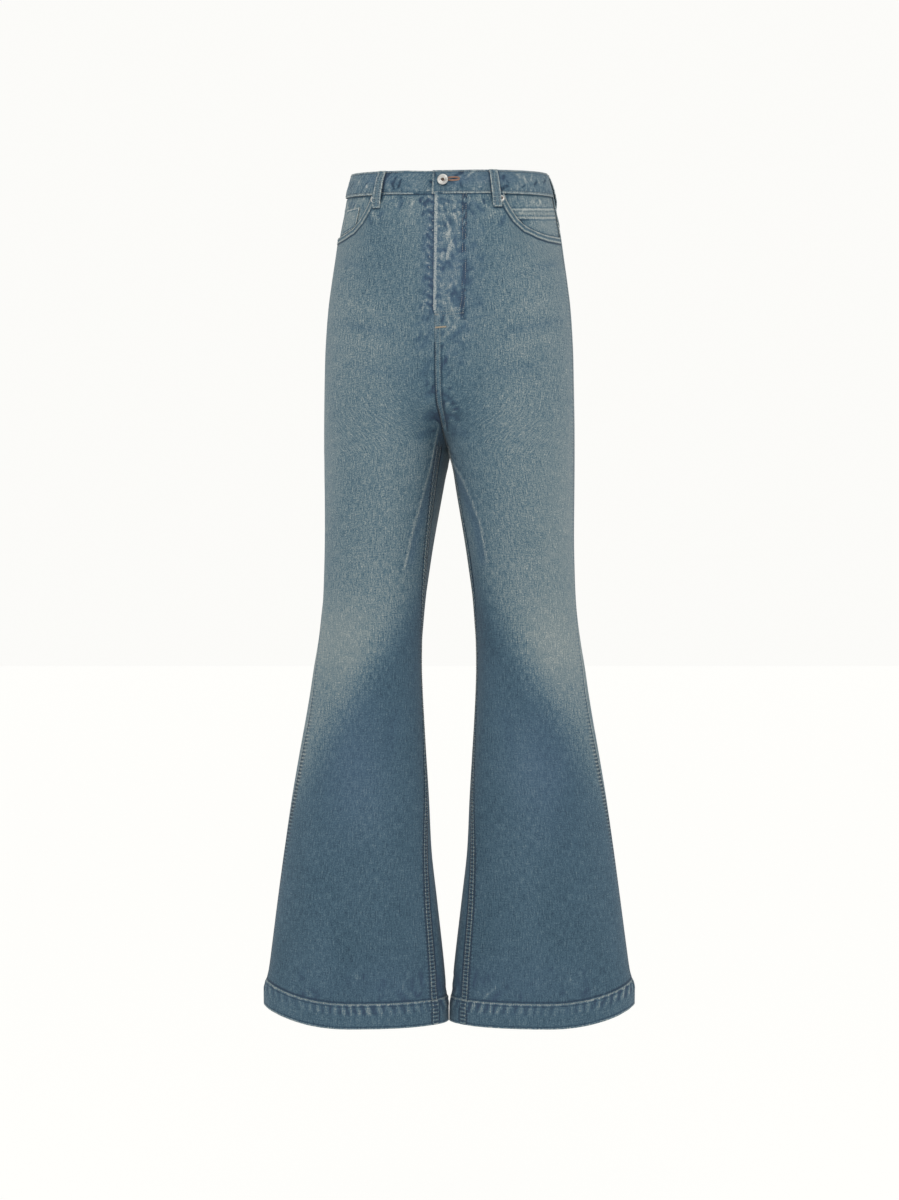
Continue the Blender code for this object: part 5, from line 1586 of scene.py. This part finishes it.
def lay_stitches(name, paths, finish, pitch=STITCH_PITCH, length=STITCH_LENGTH, width=THREAD_WIDTH, seed=3):
    """A plain mesh of stitches along paths, each a pair of points and outward directions."""
    points, normals, edges = [], [], []
    for places, outs in paths:
        first = len(points)
        points += [tuple(p * MM) for p in places]
        normals += [tuple(n) for n in outs]
        edges += [(first + k, first + k + 1) for k in range(len(places) - 1)]
    mesh = bpy.data.meshes.new(name + "_paths")
    mesh.from_pydata(points, edges, [])
    stored = mesh.attributes.new("out", "FLOAT_VECTOR", "POINT")
    stored.data.foreach_set("vector", np.array(normals, dtype=np.float32).ravel())
    carrier = add_object(name + "_paths", mesh)
    modifier = carrier.modifiers.new("stitches", "NODES")
    modifier.node_group = stitch_tree(finish)
    sizes = {"Pitch": pitch, "Stitch Length": length, "Thread Width": width, "Seed": seed}
    for item in modifier.node_group.interface.items_tree:
        if item.name in sizes and item.in_out == "INPUT":
            modifier[item.identifier] = sizes[item.name]
    view = bpy.context.evaluated_depsgraph_get()
    made = bpy.data.meshes.new_from_object(carrier.evaluated_get(view))
    made.name = name
    made.polygons.foreach_set("use_smooth", np.ones(len(made.polygons), dtype=bool))
    bpy.data.objects.remove(carrier)
    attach(add_object(name, made), "root")


def leg_row(side, angles, levels, proud=0.25):
    """A row of sewing over a leg's cloth."""
    levels = np.broadcast_to(np.asarray(levels, dtype=float), np.shape(angles))
    return on_leg(side, np.asarray(angles, dtype=float), levels, proud)


def band_row(start, end, below, proud):
    distances = np.linspace(start, end, max(3, int(abs(end - start) / 2.5)))
    points, normals = body_grid(distances, [below])
    return points[0] + normals[0] * proud, normals[0]


# The pocket opening's edge for its two rows of sewing, from its inner end: across and under the band.
STITCHED_OPENING = ((0.6, 1.5), (3.0, 11.0), (8.4, 25.4), (15.0, 38.0), (26.0, 49.0), (46.2, 57.0),
                    (66.0, 60.5), (97.0, 61.5))


def seam_rows(side):
    """The sewing of one side: inseam, hem, front pocket, yoke and back pocket."""
    rows = []
    down = np.arange(FORK - 26, -1213.0, -2.4)
    for offset in (-1.6, -9.6):
        rows.append(leg_row(side, 360 + seam_angle("inseam", down) + offset / MM_A_DEGREE, down, 0.2))
    round_hem = np.linspace(seam_angle("inseam", -1215.0), 360 + 35.0, 330)
    rows.append(leg_row(side, round_hem, hem_level(round_hem) + HEM_DEPTH - 0.5, 0.35))
    edge = np.array(STITCHED_OPENING)
    run = np.diff(edge, axis=0)
    out = np.stack([-run[:, 1], run[:, 0]], axis=-1) / np.linalg.norm(run, axis=-1, keepdims=True)
    out = np.concatenate([out[:1], (out[1:] + out[:-1]) / 2, out[-1:]])
    for away in (1.6, 7.6):
        across, drop = (edge + out * away).T
        fine = np.linspace(0, len(edge) - 1, 80)
        across, drop = (np.interp(fine, np.arange(len(edge)), values) for values in (across, drop))
        keep = drop > 0.5
        angles = angle_at(POCKET_FROM_CENTRE + across[keep], POCKET_LEVEL)
        levels = waist_line(side, angles, BAND_HEIGHT + BAND_SEAM_GAP) - drop[keep]
        low = angles < 179.5
        rows.append(leg_row(side, angles[low], levels[low], 0.2))
    columns = np.linspace(181, 279, 90)
    for above in (1.8, 7.8):
        rows.append(leg_row(side, columns, yoke_seam(columns) + above, 0.9))
    for away in (1.8, 7.8):
        rows += back_pocket_rows(side, away)
    return rows


def back_pocket_rows(side, away):
    """The sewing inside a back pocket's edge: down one side, round the point and up the other."""
    inside = 1 - away / (BACK_POCKET_WIDTH / 2)
    down = np.linspace(0.01, 1 - away / BACK_POCKET_HEIGHT, 46)
    rows = []
    for column in (-inside, inside):
        angles, levels = back_pocket_places(np.array([column]), down)
        rows.append(leg_row(side, angles[:, 0], levels[:, 0], CLOTH + PATCH_GAP + 0.3))
    bottom = np.linspace(-inside, inside, 56)
    angles, levels = back_pocket_places(bottom, [1 - away / BACK_POCKET_HEIGHT])
    rows.append(leg_row(side, angles[0], levels[0], CLOTH + PATCH_GAP + 0.5))
    if away < 3:
        angles, levels = back_pocket_places(bottom, [0.085])
        rows.append(leg_row(side, angles[0], levels[0], CLOTH + PATCH_GAP + 0.75))
    return rows


def ring_angle_near(side, across, level, back=False):
    """Ring angle at a distance from the plane of the centre seams, on the front or the back."""
    first, last = (centre_angle(level, back=True), 240) if back else (centre_angle(level, past=4.0), 120)
    angles = np.linspace(float(first), last, 700)
    away = from_centre(side, angles, np.full(700, float(level)))
    return float(np.interp(across, away, angles))


def fly_rows():
    """The fly's curved double row, turned in at its foot, and the double rows down to the fork and behind."""
    rows = []
    foot = SIDE_TOP - BAND_HEIGHT - FLY_LENGTH - 2.0
    for away, end in zip(J_ROWS, (foot + 4.5, foot)):
        down = np.arange(-28.0, end, -2.4)
        across = away - 3.0 * ease((end + 22 - down) / 22)
        angles = [ring_angle_near(1, a, z) for a, z in zip(across, down)]
        rows.append(leg_row(1, angles, down, 0.3))
        inwards = np.arange(across[-1], 3.0, -2.4)
        levels = down[-1] - 3.0 * np.sin(np.linspace(0, np.pi / 2, len(inwards)))
        rows.append(leg_row(1, [ring_angle_near(1, a, z) for a, z in zip(inwards, levels)], levels, 0.4))
    for away in (1.8, 7.6):
        down = np.arange(foot - 8.0, FORK + 3.0, -2.4)
        rows.append(leg_row(1, [ring_angle_near(1, away, z) for z in down], down, 0.3))
    down = np.arange(-100.0, FORK + 6.0, -2.4)
    for away in (1.8, 7.6):
        rows.append(leg_row(1, [ring_angle_near(1, away, z, back=True) for z in down], down, 0.3))
    return rows


def bar_tack(side, across, level, length, lean=0.0, lines=4, proud=0.5):
    """Close rows of thread over a point of strain, at a distance from the centre front."""
    rows = []
    for k in range(lines):
        z = level + 0.55 * (k - (lines - 1) / 2)
        xs = across + np.linspace(-length / 2, length / 2, 8)
        angles = [ring_angle_near(side, x, z) for x in xs]
        rows.append(leg_row(side, angles, z + lean * np.linspace(-0.5, 0.5, 8), proud))
    return rows


# ------------------------------------------------------------------ the jeans
add_camera()
blue_denim = denim("denim")
band_denim = denim("denim_band", -0.01)
pocket_denim = denim("denim_pocket", 0.03)
inside = denim_inside()
silver = metal("steel", (0.66, 0.65, 0.62), 0.34)
button_eye = metal("button_eye", (0.16, 0.12, 0.10), 0.55)
pale_thread = thread("pale_thread", (0.42, 0.43, 0.38), (0.22, 0.26, 0.28))
tan_thread = thread("tan_thread", (0.50, 0.40, 0.27), (0.34, 0.28, 0.20))
brown_thread = thread("brown_thread", (0.36, 0.20, 0.13), (0.20, 0.10, 0.07))

for side, word in ((1, "left"), (-1, "right")):
    front = front_panel(side, f"front_{word}_cloth", [blue_denim, inside])
    settle(front, f"front_{word}")
    back = back_panel(side, f"back_{word}_cloth", [blue_denim, inside])
    settle(back, f"back_{word}")
    top = yoke(side, f"yoke_{word}_cloth", [blue_denim, inside])
    settle(top, f"yoke_{word}")
    facing = pocket_facing(side, f"pocket_facing_{word}_cloth", [pocket_denim, inside])
    settle(facing, f"pocket_facing_{word}")
    patch = back_pocket(side, f"back_pocket_{word}_cloth", [pocket_denim, inside])
    settle(patch, f"back_pocket_{word}")
coin = coin_pocket(-1, "coin_pocket_cloth", [pocket_denim, inside])
settle(coin, "coin_pocket")
shield = fly_shield("fly_shield_cloth", [pocket_denim, inside])
settle(shield, "fly_shield")
band = waistband("waistband_cloth", [band_denim])
settle(band, "waistband")

loop_places = {"front_left": LOOP_FROM_CENTRE, "front_right": -LOOP_FROM_CENTRE, "side_left": SIDE_LOOP,
               "side_right": -SIDE_LOOP, "back": half_girth(0.0)}
sewing, tan_sewing = [], []
for word, distance in loop_places.items():
    loop = belt_loop(f"belt_loop_{word}_cloth", distance, [band_denim])
    settle(loop, f"belt_loop_{word}")
    heights, stands = np.array(LOOP_STAND).T
    down = np.linspace(0.02, 0.98, 24)
    for offset in (-LOOP_WIDTH * 0.24, LOOP_WIDTH * 0.24):
        points, normals = body_grid([distance + offset], 0.6 + LOOP_LENGTH * down)
        lift = np.interp(down, heights, stands) + 1.6 + 0.45 + 0.15
        sewing.append((points[:, 0] + normals[:, 0] * lift[:, None], normals[:, 0]))

hardware = [("waist_button", SHANK_BUTTON, BUTTON_EYE)]
hardware += [(f"rivet_{word}", RIVET, RIVET_EYE) for word in ("left", "right")]
hardware += [(f"fly_button_{k + 1}", FLY_BUTTON, ()) for k in range(4)]
for node, profile, eye in hardware:
    side, angle, level, middle = hardware_place(node)
    axis = outward(side, angle, level)
    height = 2.2 if node == "waist_button" else (eye or profile)[-1][1] / 2
    piece = turned(f"{node}_turned", profile, middle - axis * height, axis,
                   [silver, button_eye] if eye else [silver], eye)
    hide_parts(node)

for side in (1, -1):
    sewing += seam_rows(side)
sewing += fly_rows()
girth = 2 * half_girth(0.0)
for below in (BAND_STITCHES, BAND_HEIGHT - BAND_STITCHES):
    sewing.append(band_row(-BAND_END_PAST_FRONT + 2.0, girth - 50.0, below, BAND_PROUD - 0.05))
down = np.linspace(3.0, BAND_HEIGHT - 3.0, 14)
points, normals = body_grid([-BAND_END_PAST_FRONT + 2.4], down)
sewing.append((points[:, 0] + normals[:, 0] * BAND_PROUD, normals[:, 0]))
for y_seen in FACING_STITCHES:
    angles = angle_at(POCKET_FROM_CENTRE + np.linspace(10.0, 88.0, 40), POCKET_LEVEL)
    far = base_point(1, angles, np.full(40, POCKET_LEVEL))[:, 1] + CAMERA_DISTANCE
    levels = CAMERA_LEVEL + (PICTURE_MIDDLE[1] - y_seen) * MM_A_PIXEL * far / CAMERA_DISTANCE
    sewing.append(leg_row(1, angles, levels, -(CLOTH + PATCH_GAP) + 0.75))
foot = SIDE_TOP - BAND_HEIGHT - FLY_LENGTH
tan_sewing += bar_tack(1, 9.0, foot - 20.0, 15.0, 1.0)
pale_tacks = bar_tack(1, 38.5, foot - 7.0, 4.0) + bar_tack(1, 5.0, foot - 1.0, 8.0)
lay_stitches("seam_stitches", sewing, pale_thread)
lay_stitches("bar_tacks", pale_tacks, pale_thread, 0.0016, 0.0022, 0.0006)
lay_stitches("fly_bar_tack", tan_sewing, tan_thread, 0.0015, 0.0022, 0.0007)
buttonhole("buttonhole", [brown_thread])

# ------------------------------------------------------------------ floor and light
floor_mesh = bpy.data.meshes.new("floor")
corners = [(x * FLOOR_REACH, y * FLOOR_REACH, FLOOR_LEVEL) for x, y in ((-1, -1), (1, -1), (1, 1), (-1, 1))]
floor_mesh.from_pydata(corners, [], [(0, 1, 2, 3)])
floor = add_object("floor", floor_mesh)
pale = Finish("floor", roughness=0.9)
pale.set("Base Color", (0.10, 0.10, 0.097))
pale.set("Emission Color", SURROUND)
pale.set("Emission Strength", 0.94)
floor_mesh.materials.append(pale.material)

add_studio(ambient=0.50)
bpy.context.scene.view_settings.view_transform = "Standard"
add_softbox("top_light", (0.0, -1.6, 1.9), (0, 0, -0.4), (2.4, 1.6), 24)
add_softbox("left_light", (-2.3, -1.2, 0.0), (0, 0, -0.6), (1.0, 2.6), 12)
add_softbox("right_light", (2.3, -1.2, 0.0), (0, 0, -0.6), (1.0, 2.6), 13)
